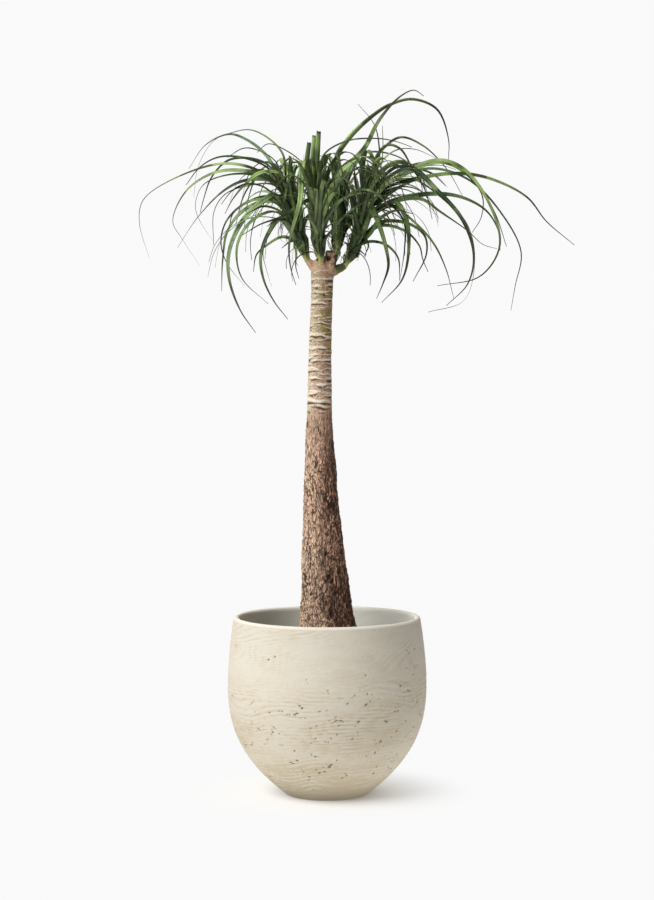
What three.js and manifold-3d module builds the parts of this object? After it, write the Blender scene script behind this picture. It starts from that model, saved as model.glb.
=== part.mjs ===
// Potted ponytail palm: a corky trunk in a big-bellied planter, with four heads of long arching leaves.
// Millimetres, +Z up. The origin is the middle of the pot's foot, the front faces -Y, +X is to the right.

import * as THREE from "three";
import { mergeVertices } from "three/addons/utils/BufferGeometryUtils.js";
import Module from "manifold-3d";

const wasm = await Module();
wasm.setup();

// Touching pieces lie this far apart, and a joined piece has no edge shorter than this.
const GAP = 0.3;
const LEAST_EDGE = 0.03;

// The planter: a flat foot, a belly two thirds of the way up, a thick wall and a rounded lip.
const POT_HEIGHT = 328;
const FOOT_RADIUS = 76;
const BELLY_RADIUS = 185;
const BELLY_HEIGHT = 210;
const LIP_RADIUS = 173;
const LOWER_CURVE = 2.6;
const UPPER_CURVE = 1.57;
const WALL = 11;
const FLOOR_THICKNESS = 18;
const FOOT_THICKENING = 0.6;
const FOOT_ROUND = 1.5;
const POT_SIDES = 40;
const OUTER_HEIGHTS = [12, 32, 58, 92, 136, 175, 210, 250, 290];
const INNER_HEIGHTS = [FLOOR_THICKNESS, 50, 95, 150, 210, 262];
const LIP_TURNS = [0, 36, 72, 108, 144, 180];

// The soil fills the pot to well below the lip, and rises a little towards the trunk.
const SOIL_EDGE_HEIGHT = 262;
const SOIL_RISE = 6;
const SOIL_RINGS = [0.72, 0.5];

// The trunk: height, how far its middle lies to the right, and radius. Its foot is buried as a plain round.
const TRUNK_FOOT = 150;
const BURIED_HEIGHTS = [TRUNK_FOOT, 225, 272];
const HOLE_TOP = 300;
const TRUNK_STATIONS = [
  [TRUNK_FOOT, 3, 42],
  [225, 3.5, 54],
  [272, 4, 58],
  [310, 2.5, 53],
  [354, -1.5, 46.5],
  [391, -3.5, 44],
  [429, -5.5, 41.5],
  [466, -7, 38],
  [503, -10, 35],
  [540, -11, 32.5],
  [596, -12, 29.8],
  [640, -14, 27],
  [708, -14, 23],
  [782, -13.5, 21.5],
  [857, -12, 20.3],
  [931, -9, 19.6],
  [964, -9, 21],
  [977, -8, 25],
  [985, -7, 25],
  [992, -6, 18],
  [996, -6, 7],
];
const TRUNK_SIDES = 12;

// Corky bark up to the leaf scars: three waves, each with its count round the trunk and its rise in height.
const BARK_FROM = 299;
const BARK_STEP = 24;
const BARK_RELIEF = 0.035;
const BARK_ROUND = [3, 2, 5];
const BARK_RISE = [31, -47, 19];
const BARK_LAST_SHARE = 0.6;
const SCARS_FROM = 700;
const SCARS_TO = 966;
const SCAR_PITCH = 9.2;
const SCAR_CREST = 0.62;
const SCAR_RELIEF = 0.9;

// The dead cut stub between the heads, hollow at its end.
const STUB = {
  from: [2, -8, 966],
  to: [7, -19, 1005],
  radius: 9,
  hollow: 5,
  narrowing: 0.6,
  depth: 8,
  past: 2,
};

// The leafy stems: each sits in a plain socket of the knob and rises along its own bend.
const SOCKET_DEPTH = 15;
const SOCKET_MOUTH = 9;
const COLLAR_ROOT = new THREE.Vector3(-9, 0, 952);
const COLLAR_RADII = [17, 10.5];
const STEM_RADII = [8, 9.6, 10.4, 9.4, 7.6, 4];
const STEM_SIDES = 8;
const HEADS = {
  head_left: {
    path: [[-36, -2, 988], [-47, -5, 1027], [-57, -8, 1062], [-71, -10, 1116]],
    azimuth: 180,
    fillers: 24,
  },
  head_centre: {
    path: [[-11, -25, 984], [-17, -34, 1027], [-19, -40, 1066], [-19, -43, 1106]],
    azimuth: 270,
    fillers: 26,
  },
  head_right: {
    path: [[33, -4, 979], [47, -7, 1012], [59, -8, 1052], [72, -9, 1110]],
    azimuth: 0,
    fillers: 26,
  },
  head_back: {
    path: [[17, 23, 1000], [20, 34, 1038], [21, 42, 1074], [20, 47, 1112]],
    azimuth: 90,
    fillers: 26,
  },
};

// The eye that the leaves were read from: its distance from the trunk and its height.
const EYE_DISTANCE = 3790;
const EYE_HEIGHT = 778;

// How a leaf leaves its stem: how deep its root is sunk, and how it hugs the stem before it leaves it.
const ROOT_SINK = 6;
const HUG_SHARE = 0.12;
const HUG_OFF = 2.5;

// A placed leaf is rooted higher up the stem the higher its first point is, between two shares of the stem.
const ROOT_BELOW = 40;
const ROOT_RANGE = 140;
const ROOT_SHARES = [0.16, 0.86];

// The short upright leaves with cut ends are those of two points that end above this height.
const SPEAR_HEIGHT = 1200;

// Leaves placed one by one. Each row holds how far the tip comes forward (-) or goes back (+), the width
// near the root, and the points that the leaf passes, right and up, as seen from the front.
const PLACED = {
  head_left: [
    [-30, 12, [-122, 1153], [-195, 1169], [-300, 1134], [-343, 1100], [-349, 1060], [-331, 994]],
    [60, 6, [-84, 1190], [-138, 1231], [-180, 1226], [-212, 1211], [-239, 1165], [-248, 1106]],
    [90, 9, [-112, 1183], [-150, 1214], [-182, 1224], [-226, 1204], [-257, 1160]],
    [-60, 6, [-95, 1172], [-128, 1194], [-155, 1198], [-185, 1181]],
    [-80, 8, [-112, 1162], [-160, 1181], [-203, 1181], [-236, 1163], [-262, 1130]],
    [50, 11, [-105, 1142], [-170, 1157], [-215, 1150], [-262, 1118], [-287, 1062], [-270, 1030],
      [-236, 978]],
    [-90, 8, [-112, 1140], [-170, 1150], [-230, 1130], [-245, 1092], [-238, 1066], [-213, 1026]],
    [20, 11, [-98, 1134], [-150, 1138], [-190, 1120], [-240, 1070], [-278, 1013]],
    [-120, 14, [-88, 1150], [-124, 1152], [-152, 1131], [-176, 1102], [-190, 1076]],
    [90, 9, [-100, 1130], [-150, 1128], [-190, 1112], [-210, 1080], [-211, 1018]],
    [-130, 14, [-92, 1112], [-130, 1091], [-160, 1058], [-182, 1005], [-182, 955], [-162, 898],
      [-133, 855]],
    [-70, 12, [-95, 1080], [-135, 1066], [-160, 1036], [-168, 1003], [-158, 956], [-109, 908]],
    [40, 12, [-105, 1106], [-155, 1093], [-187, 1062], [-197, 1022], [-186, 984], [-150, 938]],
    [-20, 11, [-100, 1098], [-150, 1086], [-184, 1046], [-194, 990], [-196, 932]],
    [-100, 12, [-88, 1066], [-110, 1037], [-123, 996], [-118, 955], [-99, 914], [-73, 880]],
    [30, 9, [-85, 1064], [-106, 1040], [-119, 1005], [-112, 970], [-103, 940]],
    [20, 8, [-82, 1033], [-110, 1019], [-131, 1000], [-137, 968]],
    [-20, 7, [-70, 1023], [-84, 1012]],
    [-10, 7, [-57, 1000], [-58, 978], [-52, 955]],
    [-130, 7, [-58, 1168], [-70, 1142], [-80, 1095], [-86, 1058], [-84, 1030]],
    [70, 8, [-115, 1170], [-180, 1177], [-214, 1145], [-229, 1105], [-236, 1078]],
    [-40, 12, [-100, 1100], [-148, 1098], [-175, 1076], [-182, 1050]],
    [-60, 14, [-58, 1070], [-66, 1110], [-70, 1150], [-62, 1182]],
    [-40, 14, [-50, 1060], [-52, 1095], [-66, 1125], [-98, 1147]],
    [-90, 15, [-66, 1052], [-84, 1078], [-118, 1090], [-150, 1075]],
    [-70, 13, [-60, 1040], [-72, 1062], [-92, 1066], [-112, 1052]],
  ],
  head_centre: [
    [-8, 18, [-20, 1160], [-15, 1232]],
    [-14, 17, [-38, 1150], [-33, 1211]],
    [4, 15, [-27, 1160], [-24, 1224]],
    [-70, 16, [18, 1147], [68, 1195], [97, 1250], [136, 1294], [162, 1306], [180, 1295]],
    [-110, 10, [-3, 1118], [-23, 1108], [-42, 1098], [-84, 1071], [-125, 1056], [-158, 1036]],
    [-130, 15, [-9, 1062], [13, 1092], [31, 1106], [58, 1114], [88, 1115], [122, 1098], [152, 1066]],
    [-160, 8, [22, 1067], [64, 1078], [85, 1094], [98, 1116]],
    [-20, 6, [-8, 1182], [36, 1211], [95, 1216], [130, 1210], [158, 1200]],
    [-130, 15, [-34, 1150], [-44, 1176], [-50, 1100], [-70, 1022], [-68, 978], [-58, 944]],
    [-40, 17, [-26, 1075], [-34, 1110], [-42, 1150], [-44, 1186]],
    [-60, 15, [-24, 1060], [-36, 1088], [-60, 1104], [-92, 1110]],
    [-90, 14, [-22, 1048], [-38, 1068], [-58, 1062], [-70, 1040]],
    [-50, 16, [-8, 1070], [2, 1105], [10, 1140], [6, 1172]],
    [-70, 15, [-4, 1060], [10, 1082], [22, 1120], [30, 1155]],
    [-30, 15, [-30, 1100], [-52, 1130], [-80, 1146], [-112, 1150]],
  ],
  head_right: [
    [20, 10, [112, 1124], [190, 1146], [245, 1151], [302, 1142], [372, 1107], [408, 1062], [460, 1018]],
    [-40, 5, [96, 1168], [97, 1202], [88, 1242], [58, 1280]],
    [30, 5, [100, 1160], [104, 1200], [103, 1240]],
    [60, 7, [92, 1180], [135, 1218], [178, 1203], [222, 1160], [252, 1110]],
    [-40, 8, [92, 1182], [112, 1204], [136, 1197], [158, 1162], [175, 1132], [178, 1106]],
    [90, 7, [98, 1168], [128, 1194], [163, 1196], [206, 1178]],
    [-110, 15, [66, 1160], [74, 1195], [90, 1168], [98, 1128], [92, 1090]],
    [40, 13, [98, 1136], [128, 1162], [160, 1163], [212, 1166], [240, 1158]],
    [-60, 10, [118, 1138], [160, 1162], [210, 1176], [256, 1158], [305, 1088], [321, 1015], [285, 960],
      [205, 942]],
    [100, 12, [110, 1110], [148, 1132], [172, 1137], [180, 1100]],
    [70, 13, [120, 1098], [190, 1113], [250, 1107], [298, 1080], [320, 1040], [322, 1008]],
    [-20, 12, [126, 1098], [175, 1103], [210, 1080], [262, 1044], [290, 1019], [316, 1011]],
    [-110, 13, [108, 1142], [156, 1160], [205, 1119], [252, 1065], [273, 1000], [262, 946], [222, 905]],
    [120, 9, [104, 1128], [160, 1140], [220, 1100], [262, 1055], [275, 990], [255, 915], [188, 893]],
    [130, 8, [110, 1140], [170, 1169], [240, 1165], [288, 1112], [287, 1070], [270, 1041]],
    [-10, 8, [112, 1132], [190, 1160], [262, 1140], [322, 1080], [361, 1005], [350, 942], [342, 896]],
    [10, 10, [100, 1060], [150, 1058], [181, 1036], [185, 1002], [160, 950]],
    [-50, 9, [98, 1054], [145, 1044], [172, 1016], [178, 992], [188, 968]],
    [-150, 15, [74, 1098], [92, 1066], [110, 1010], [114, 978], [104, 946], [92, 918]],
    [-80, 12, [122, 1100], [146, 1070], [152, 1010], [140, 954], [102, 911]],
    [40, 9, [118, 1090], [143, 1060], [144, 1010], [135, 950]],
    [-30, 9, [80, 1024], [110, 1018], [132, 994], [135, 953]],
    [-60, 8, [68, 1034], [77, 1018], [69, 996]],
    [20, 7, [57, 1012], [73, 998]],
    [-60, 9, [118, 1092], [150, 1071], [196, 1024], [221, 974], [236, 918]],
    [-140, 6, [76, 1168], [67, 1125], [66, 1070]],
    [20, 8, [130, 1144], [215, 1171], [272, 1138], [312, 1078], [334, 1015]],
    [-90, 17, [74, 1055], [84, 1095], [84, 1140], [74, 1176]],
    [-70, 16, [60, 1042], [50, 1080], [40, 1120], [26, 1152]],
    [-50, 14, [54, 1030], [40, 1056], [28, 1078], [10, 1092]],
    [-60, 15, [64, 1060], [60, 1100], [52, 1140], [50, 1172]],
    [-60, 16, [82, 1040], [98, 1066], [128, 1082], [160, 1076]],
    [-30, 14, [80, 1070], [104, 1100], [140, 1112], [176, 1100]],
  ],
  head_back: [
    [60, 15, [18, 1178], [42, 1217], [84, 1257], [118, 1279], [160, 1289], [205, 1270], [226, 1215],
      [226, 1176]],
    [60, 8, [-40, 1165], [-70, 1190], [-110, 1206], [-130, 1190]],
    [90, 9, [40, 1150], [62, 1186], [105, 1190], [150, 1172], [176, 1140]],
    [20, 14, [20, 1140], [5, 1166], [-12, 1184], [-40, 1180]],
    [40, 15, [36, 1110], [48, 1140], [70, 1160], [100, 1150]],
  ],
};

// Leaves placed by rule fill the crown to the front and the back, inside this outline seen from the front.
const CROWN = { middle: [12, 1104], half: [228, 88], clearOf: [-78, 62], floor: 1046 };
const FILLER_SPREAD = 104;
const FILLER_TURN = 14;
const FILLER_ROOTS = { lowest: 0.16, more: 0.8 };
const FILLER_LENGTHS = [210, 430];
const FILLER_WIDTHS = [9, 13];
const FILLER_LIFT = { lowest: 34, more: 46, jitter: 12 };
const FILLER_DROOPS = [-86, -40];
const FILLER_BENDS = 6;
const FILLER_BEND_POWER = 1.2;

// Leaves of different heads stand apart, and each leaf stands off the other stems and the trunk's top.
const SIDE_SAMPLES = 56;
const FINE_LENGTHS = 160;
const CLEARANCE = 6;
const STEM_CLEARANCE = 4;
const KNOB_HEIGHTS = [900, 920, 940, 955, 968, 978, 986, 994];
const KNOB_MARGIN = 2;
const STEM_SAMPLES = 2;
const CROWN_SAMPLES = 10;
const SHEATH_SAMPLES = 14;
const DEPTH_STEP = 14;
const TRIES = 48;
const GOLDEN = 0.618034;
const SEED = 20417;

// The blades: a flat top and a keel below, in short straight lengths.
const BLADE_PITCH = 64;
const FEWEST_LENGTHS = 4;
const MOST_LENGTHS = 8;
const BEND_SHARE = 0.45;
const ROOT_SHARE = 0.5;
const KEEL = 0.2;
const LEAST_KEEL = 1;
const TIP_WIDTH = 2.2;
const TAPER_POWER = 0.68;
const BLUNT_TAPER = 0.35;
const ROLLS = [35, 75];
const ROLLED_BACK = 0.3;
const TWIST = 50;

const degrees = Math.PI / 180;
const UP = new THREE.Vector3(0, 0, 1);
const FRONT = new THREE.Vector3(0, -1, 0);

// One closed mesh through rings of points that run anticlockwise as seen from the last ring, capped flat.
function loft(rings) {
  const sides = rings[0].length;
  const top = (rings.length - 1) * sides;
  const index = [];
  for (let i = 0; i + 1 < rings.length; i++) {
    for (let j = 0; j < sides; j++) {
      const a = i * sides + j;
      const b = i * sides + ((j + 1) % sides);
      index.push(a, b, b + sides, a, b + sides, a + sides);
    }
  }
  for (let j = 1; j + 1 < sides; j++) {
    index.push(0, j + 1, j);
    index.push(top, top + j, top + j + 1);
  }
  const positions = rings.flat().flatMap((point) => point.toArray());
  const geometry = new THREE.BufferGeometry();
  geometry.setAttribute("position", new THREE.Float32BufferAttribute(positions, 3));
  geometry.setIndex(index);
  return geometry;
}

function solidOf(geometry) {
  const bare = new THREE.BufferGeometry();
  bare.setAttribute("position", geometry.getAttribute("position"));
  bare.setIndex(geometry.getIndex());
  const merged = mergeVertices(bare);
  const vertProperties = merged.getAttribute("position").array;
  const triVerts = new Uint32Array(merged.getIndex().array);
  return new wasm.Manifold(new wasm.Mesh({ numProp: 3, vertProperties, triVerts }));
}

function geometryOf(solid) {
  const mesh = solid.getMesh();
  const geometry = new THREE.BufferGeometry();
  const positions = new Float32Array(mesh.numVert * 3);
  for (let i = 0; i < mesh.numVert; i++) {
    positions.set(mesh.vertProperties.subarray(i * mesh.numProp, i * mesh.numProp + 3), i * 3);
  }
  geometry.setAttribute("position", new THREE.BufferAttribute(positions, 3));
  geometry.setIndex(new THREE.BufferAttribute(mesh.triVerts, 1));
  return geometry;
}

// The largest body of a solid: the pockets that crossing blades seal off inside it are left filled.
function largestBody(solid) {
  return solid.decompose().reduce((best, body) => (body.volume() > best.volume() ? body : best));
}

// A union as one body without short edges. Collapsing those may pinch off a pocket again.
function wholeBody(solid) {
  return largestBody(largestBody(solid).simplify(LEAST_EDGE));
}

// A seeded draw from 0 to 1, by the multiplicative rule with modulus 2^31 - 1.
let seedState = SEED;
function draw() {
  seedState = (seedState * 16807) % 2147483647;
  return seedState / 2147483647;
}

function drawBetween(low, high) {
  return low + (high - low) * draw();
}

// The planter's radius outside, at a height: a power curve below the belly and another above it.
function outerRadius(z) {
  if (z < BELLY_HEIGHT) {
    const below = 1 - z / BELLY_HEIGHT;
    return FOOT_RADIUS + (BELLY_RADIUS - FOOT_RADIUS) * (1 - below ** LOWER_CURVE);
  }
  const above = (z - BELLY_HEIGHT) / (POT_HEIGHT - BELLY_HEIGHT);
  return BELLY_RADIUS - (BELLY_RADIUS - LIP_RADIUS) * above ** UPPER_CURVE;
}

// The wall is thicker towards the foot, as it is in a cast pot.
function innerRadius(z) {
  const below = Math.max(0, 1 - z / BELLY_HEIGHT);
  return outerRadius(z) - WALL * (1 + FOOT_THICKENING * below);
}

function turned(profile) {
  const outline = profile.map(([radius, height]) => new THREE.Vector2(radius, height));
  return new THREE.LatheGeometry(outline, POT_SIDES).rotateX(Math.PI / 2);
}

function pot() {
  const lipHeight = POT_HEIGHT - WALL / 2;
  const lipMiddle = outerRadius(lipHeight) - WALL / 2;
  const lip = LIP_TURNS.map((turn) => [
    lipMiddle + (WALL / 2) * Math.cos(turn * degrees),
    lipHeight + (WALL / 2) * Math.sin(turn * degrees),
  ]);
  const outside = OUTER_HEIGHTS.map((z) => [outerRadius(z), z]);
  const inside = INNER_HEIGHTS.map((z) => [innerRadius(z), z]).reverse();
  const foot = [[0, 0], [FOOT_RADIUS, 0], [FOOT_RADIUS + FOOT_ROUND, FOOT_ROUND]];
  return turned([...foot, ...outside, ...lip, ...inside, [0, FLOOR_THICKNESS]]);
}

// A soil fill that follows the wall inside, with a plain hole for the trunk's foot.
function soil() {
  const heights = INNER_HEIGHTS.filter((z) => z <= SOIL_EDGE_HEIGHT);
  const side = heights.map((z, i) => [innerRadius(z) - GAP, i ? z : z + GAP]);
  const edge = side.at(-1)[0];
  const surface = SOIL_RINGS.map((share) => [edge * share, SOIL_EDGE_HEIGHT + SOIL_RISE * (1 - share)]);
  const middle = [0, SOIL_EDGE_HEIGHT + SOIL_RISE];
  const fill = solidOf(turned([[0, FLOOR_THICKNESS + GAP], ...side, ...surface, middle]));
  return geometryOf(fill.subtract(solidOf(trunkFoot(GAP))));
}

function trunkAt(z) {
  const last = TRUNK_STATIONS.length - 1;
  let i = TRUNK_STATIONS.findIndex(([height]) => height > z) - 1;
  if (i < 0) i = z < TRUNK_FOOT ? 0 : last - 1;
  const [z0, x0, r0] = TRUNK_STATIONS[i];
  const [z1, x1, r1] = TRUNK_STATIONS[i + 1];
  const t = (z - z0) / (z1 - z0);
  return { x: x0 + (x1 - x0) * t, radius: r0 + (r1 - r0) * t };
}

function trunkRing(z, radiusAt) {
  const { x, radius } = trunkAt(z);
  return Array.from({ length: TRUNK_SIDES }, (_, i) => {
    const turn = (i / TRUNK_SIDES) * 2 * Math.PI;
    const r = radiusAt(radius, turn, z);
    return new THREE.Vector3(x + r * Math.cos(turn), r * Math.sin(turn), z);
  });
}

// The plain foot in the soil. Grown by a gap it is the hole, which then runs on past the surface.
function trunkFoot(grow) {
  const [lowest, ...others] = BURIED_HEIGHTS;
  const plainTop = BURIED_HEIGHTS.at(-1);
  const heights = [lowest - grow, ...others, HOLE_TOP];
  return loft(heights.map((z) => trunkRing(z, () => trunkAt(Math.min(z, plainTop)).radius + grow)));
}

// Corky plates below, as slow waves round the trunk, and the ridges of old leaf scars above.
function barkRadius(radius, turn, z) {
  const [first, second, last] = BARK_ROUND.map((count, i) => count * turn + z / BARK_RISE[i]);
  const plates = Math.sin(first) * Math.cos(second) + BARK_LAST_SHARE * Math.sin(last);
  return radius * (1 + BARK_RELIEF * plates);
}

function trunk() {
  const rings = BURIED_HEIGHTS.map((z) => trunkRing(z, (radius) => radius));
  for (let z = BARK_FROM; z < SCARS_FROM; z += BARK_STEP) {
    rings.push(trunkRing(z, barkRadius));
  }
  const scars = Math.floor((SCARS_TO - SCARS_FROM) / SCAR_PITCH);
  for (let i = 0; i < scars; i++) {
    const z = SCARS_FROM + i * SCAR_PITCH;
    rings.push(trunkRing(z, (radius) => radius - SCAR_RELIEF));
    rings.push(trunkRing(z + SCAR_PITCH * SCAR_CREST, (radius) => radius + SCAR_RELIEF));
  }
  for (const [z] of TRUNK_STATIONS.filter(([height]) => height > SCARS_TO)) {
    rings.push(trunkRing(z, (radius) => radius));
  }
  const stubFrom = new THREE.Vector3(...STUB.from);
  const stubTo = new THREE.Vector3(...STUB.to);
  const along = stubTo.clone().sub(stubFrom).normalize();
  const hollowFrom = stubTo.clone().addScaledVector(along, -STUB.depth);
  const hollowTo = stubTo.clone().addScaledVector(along, STUB.past);
  const hollow = tube([hollowFrom, hollowTo], [STUB.hollow * STUB.narrowing, STUB.hollow], STEM_SIDES);
  const stub = tube([stubFrom, stubTo], [STUB.radius, STUB.radius], STEM_SIDES);
  const grown = [solidOf(loft(rings)), solidOf(stub)];
  const cuts = [solidOf(hollow)];
  const socketRadius = STEM_RADII[0] + GAP;
  for (const { path } of Object.values(HEADS)) {
    const base = new THREE.Vector3(...path[0]);
    grown.push(solidOf(tube([COLLAR_ROOT, base], COLLAR_RADII, STEM_SIDES)));
    cuts.push(solidOf(tube(socketPath(path, GAP), [socketRadius, socketRadius], STEM_SIDES)));
  }
  const cut = wasm.Manifold.union(grown).subtract(wasm.Manifold.union(cuts));
  return geometryOf(wholeBody(cut));
}

// From the bottom of the socket to a little above the knob, on the line in which the stem leaves it.
function socketPath(path, grow) {
  const base = new THREE.Vector3(...path[0]);
  const along = new THREE.Vector3(...path[1]).sub(base).normalize();
  const bottom = base.clone().addScaledVector(along, -SOCKET_DEPTH - grow);
  return [bottom, base.addScaledVector(along, SOCKET_MOUTH)];
}

// A round bar of many sides through points, with its radius given at each.
function tube(points, radii, sides) {
  const rings = points.map((point, i) => {
    const before = points[Math.max(0, i - 1)];
    const after = points[Math.min(points.length - 1, i + 1)];
    const tangent = after.clone().sub(before).normalize();
    const right = new THREE.Vector3(1, 0, 0).addScaledVector(tangent, -tangent.x).normalize();
    const back = tangent.clone().cross(right);
    return Array.from({ length: sides }, (_, j) => {
      const turn = (j / sides) * 2 * Math.PI;
      const side = right.clone().multiplyScalar(Math.cos(turn)).addScaledVector(back, Math.sin(turn));
      return point.clone().addScaledVector(side, radii[i]);
    });
  });
  return loft(rings);
}

// A smooth line through points, cut into equal lengths measured along it.
function smoothLine(points, count) {
  const curve = new THREE.CatmullRomCurve3(points, false, "centripetal");
  const fine = Array.from({ length: FINE_LENGTHS + 1 }, (_, i) => curve.getPoint(i / FINE_LENGTHS));
  const along = [0];
  for (let i = 1; i < fine.length; i++) {
    along.push(along[i - 1] + fine[i].distanceTo(fine[i - 1]));
  }
  const line = [];
  let k = 1;
  for (let i = 0; i < count; i++) {
    const s = (along.at(-1) * i) / (count - 1);
    while (k < fine.length - 1 && along[k] < s) k++;
    const t = (s - along[k - 1]) / (along[k] - along[k - 1]);
    line.push(fine[k - 1].clone().lerp(fine[k], Math.min(1, t)));
  }
  return line;
}

// The point on a sight line from the eye, at a depth, that is seen at x, z in the plane of the trunk.
function seenAt(x, z, y) {
  const scale = (EYE_DISTANCE + y) / EYE_DISTANCE;
  return new THREE.Vector3(x * scale, y, EYE_HEIGHT + (z - EYE_HEIGHT) * scale);
}

function seenFrom(point) {
  const scale = EYE_DISTANCE / (EYE_DISTANCE + point.y);
  return [point.x * scale, EYE_HEIGHT + (point.z - EYE_HEIGHT) * scale];
}

function stemOf(head) {
  const path = HEADS[head].path.map((p) => new THREE.Vector3(...p));
  return smoothLine(path, STEM_RADII.length);
}

function onStem(stem, share) {
  const at = Math.min(0.999, Math.max(0, share)) * (stem.length - 1);
  const i = Math.floor(at);
  return {
    point: stem[i].clone().lerp(stem[i + 1], at - i),
    radius: STEM_RADII[i] + (STEM_RADII[i + 1] - STEM_RADII[i]) * (at - i),
  };
}

// A leaf starts inside its stem, hugs it for a short way and leaves it towards the next point.
function rootOf(stem, share, towards) {
  const root = onStem(stem, share);
  const guide = onStem(stem, share + HUG_SHARE);
  const out = towards.clone().sub(root.point).setZ(0).normalize();
  return [
    root.point.addScaledVector(out, root.radius - ROOT_SINK),
    guide.point.addScaledVector(out, guide.radius + HUG_OFF),
  ];
}

function bladeWidth(width, share, blunt) {
  if (blunt) return width * (1 - BLUNT_TAPER * share);
  return TIP_WIDTH + (width - TIP_WIDTH) * (1 - share) ** TAPER_POWER;
}

// The widest a leaf is at each sample of its middle line, halved.
function halfWidths(leaf) {
  return leaf.line.map((_, i) => bladeWidth(leaf.width, i / (SIDE_SAMPLES - 1), leaf.blunt) / 2);
}

function clearOf(leaf, others, clearance, from, otherFrom) {
  for (const other of others) {
    for (let i = from; i < leaf.line.length; i++) {
      for (let j = otherFrom; j < other.line.length; j++) {
        const reach = leaf.half[i] + other.half[j] + clearance;
        if (leaf.line[i].distanceToSquared(other.line[j]) < reach * reach) return false;
      }
    }
  }
  return true;
}

const stems = Object.fromEntries(Object.keys(HEADS).map((head) => [head, stemOf(head)]));
const leaves = Object.fromEntries(Object.keys(HEADS).map((head) => [head, []]));

// What a leaf keeps clear of: the other heads' leaves and stems, and the top of the trunk.
function standsFree(leaf, head) {
  const others = Object.keys(HEADS).filter((name) => name !== head);
  const bars = others.map((name) => ({ line: stems[name], half: STEM_RADII }));
  const knob = {
    line: KNOB_HEIGHTS.map((z) => new THREE.Vector3(trunkAt(z).x, 0, z)),
    half: KNOB_HEIGHTS.map((z) => trunkAt(z).radius + KNOB_MARGIN),
  };
  if (!clearOf(leaf, [...bars, knob], STEM_CLEARANCE, STEM_SAMPLES, 0)) return false;
  return others.every((name) => clearOf(leaf, leaves[name], CLEARANCE, 0, 0));
}

function leafThrough(points, width, blunt) {
  const leaf = { line: smoothLine(points, SIDE_SAMPLES), width, blunt };
  leaf.half = halfWidths(leaf);
  return leaf;
}

// A placed leaf keeps its look from the front: only its depth is stepped until it stands free.
function placeLeaf(head, [depth, width, ...seen]) {
  const stem = stems[head];
  const share = THREE.MathUtils.clamp((seen[0][1] - stem[0].z - ROOT_BELOW) / ROOT_RANGE, ...ROOT_SHARES);
  const root = onStem(stem, share).point;
  const blunt = seen.length === 2 && seen[1][1] > SPEAR_HEIGHT;
  for (let step = 0; step < TRIES; step++) {
    const shift = DEPTH_STEP * Math.ceil(step / 2) * (step % 2 ? 1 : -1);
    let run = 0;
    let [x, z] = seenFrom(root);
    const runs = seen.map(([nextX, nextZ]) => {
      run += Math.hypot(nextX - x, nextZ - z);
      [x, z] = [nextX, nextZ];
      return run;
    });
    const through = seen.map((at, i) => seenAt(...at, root.y + ((depth + shift) * runs[i]) / run));
    const leaf = leafThrough([...rootOf(stem, share, through[0]), ...through], width, blunt);
    if (standsFree(leaf, head)) return leaf;
  }
  throw new Error("a placed leaf of " + head + " finds no free way: " + seen[0]);
}

function insideCrown(leaf) {
  return leaf.line.every((point, i) => {
    if (i < CROWN_SAMPLES) return true;
    const [x, z] = seenFrom(point);
    const across = (x - CROWN.middle[0]) / CROWN.half[0];
    const up = (z - CROWN.middle[1]) / CROWN.half[1];
    const overTrunk = x > CROWN.clearOf[0] && x < CROWN.clearOf[1];
    return across * across + up * up < 1 && (!overTrunk || z > CROWN.floor);
  });
}

// A filler leaf arches out at a drawn turn: lifted at its root, then bending down more and more.
function fillerLeaf(head, number) {
  const share = FILLER_ROOTS.lowest + (FILLER_ROOTS.more * (number + 0.5)) / HEADS[head].fillers;
  const stem = stems[head];
  for (let step = 0; step < TRIES; step++) {
    const fan = (((number + step) * GOLDEN) % 1) * 2 - 1;
    const jitter = drawBetween(-FILLER_TURN, FILLER_TURN);
    const turn = (HEADS[head].azimuth + FILLER_SPREAD * fan + jitter) * degrees;
    const out = new THREE.Vector3(Math.cos(turn), Math.sin(turn), 0);
    const length = drawBetween(...FILLER_LENGTHS);
    const lifted = drawBetween(-FILLER_LIFT.jitter, FILLER_LIFT.jitter);
    const lift = (FILLER_LIFT.lowest + FILLER_LIFT.more * share + lifted) * degrees;
    const droop = drawBetween(...FILLER_DROOPS) * degrees;
    const width = drawBetween(...FILLER_WIDTHS);
    const [root, guide] = rootOf(stem, share, onStem(stem, share).point.clone().add(out));
    const points = [root, guide];
    for (let i = 0; i < FILLER_BENDS; i++) {
      const slope = lift + (droop - lift) * ((i + 0.5) / FILLER_BENDS) ** FILLER_BEND_POWER;
      const forward = out.clone().multiplyScalar(Math.cos(slope)).addScaledVector(UP, Math.sin(slope));
      points.push(points.at(-1).clone().addScaledVector(forward, length / FILLER_BENDS));
    }
    const leaf = leafThrough(points, width, false);
    const apart = step > TRIES / 2 || clearOf(leaf, leaves[head], 0, SHEATH_SAMPLES, SHEATH_SAMPLES);
    if (apart && insideCrown(leaf) && standsFree(leaf, head)) return leaf;
  }
  return null;
}

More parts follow.
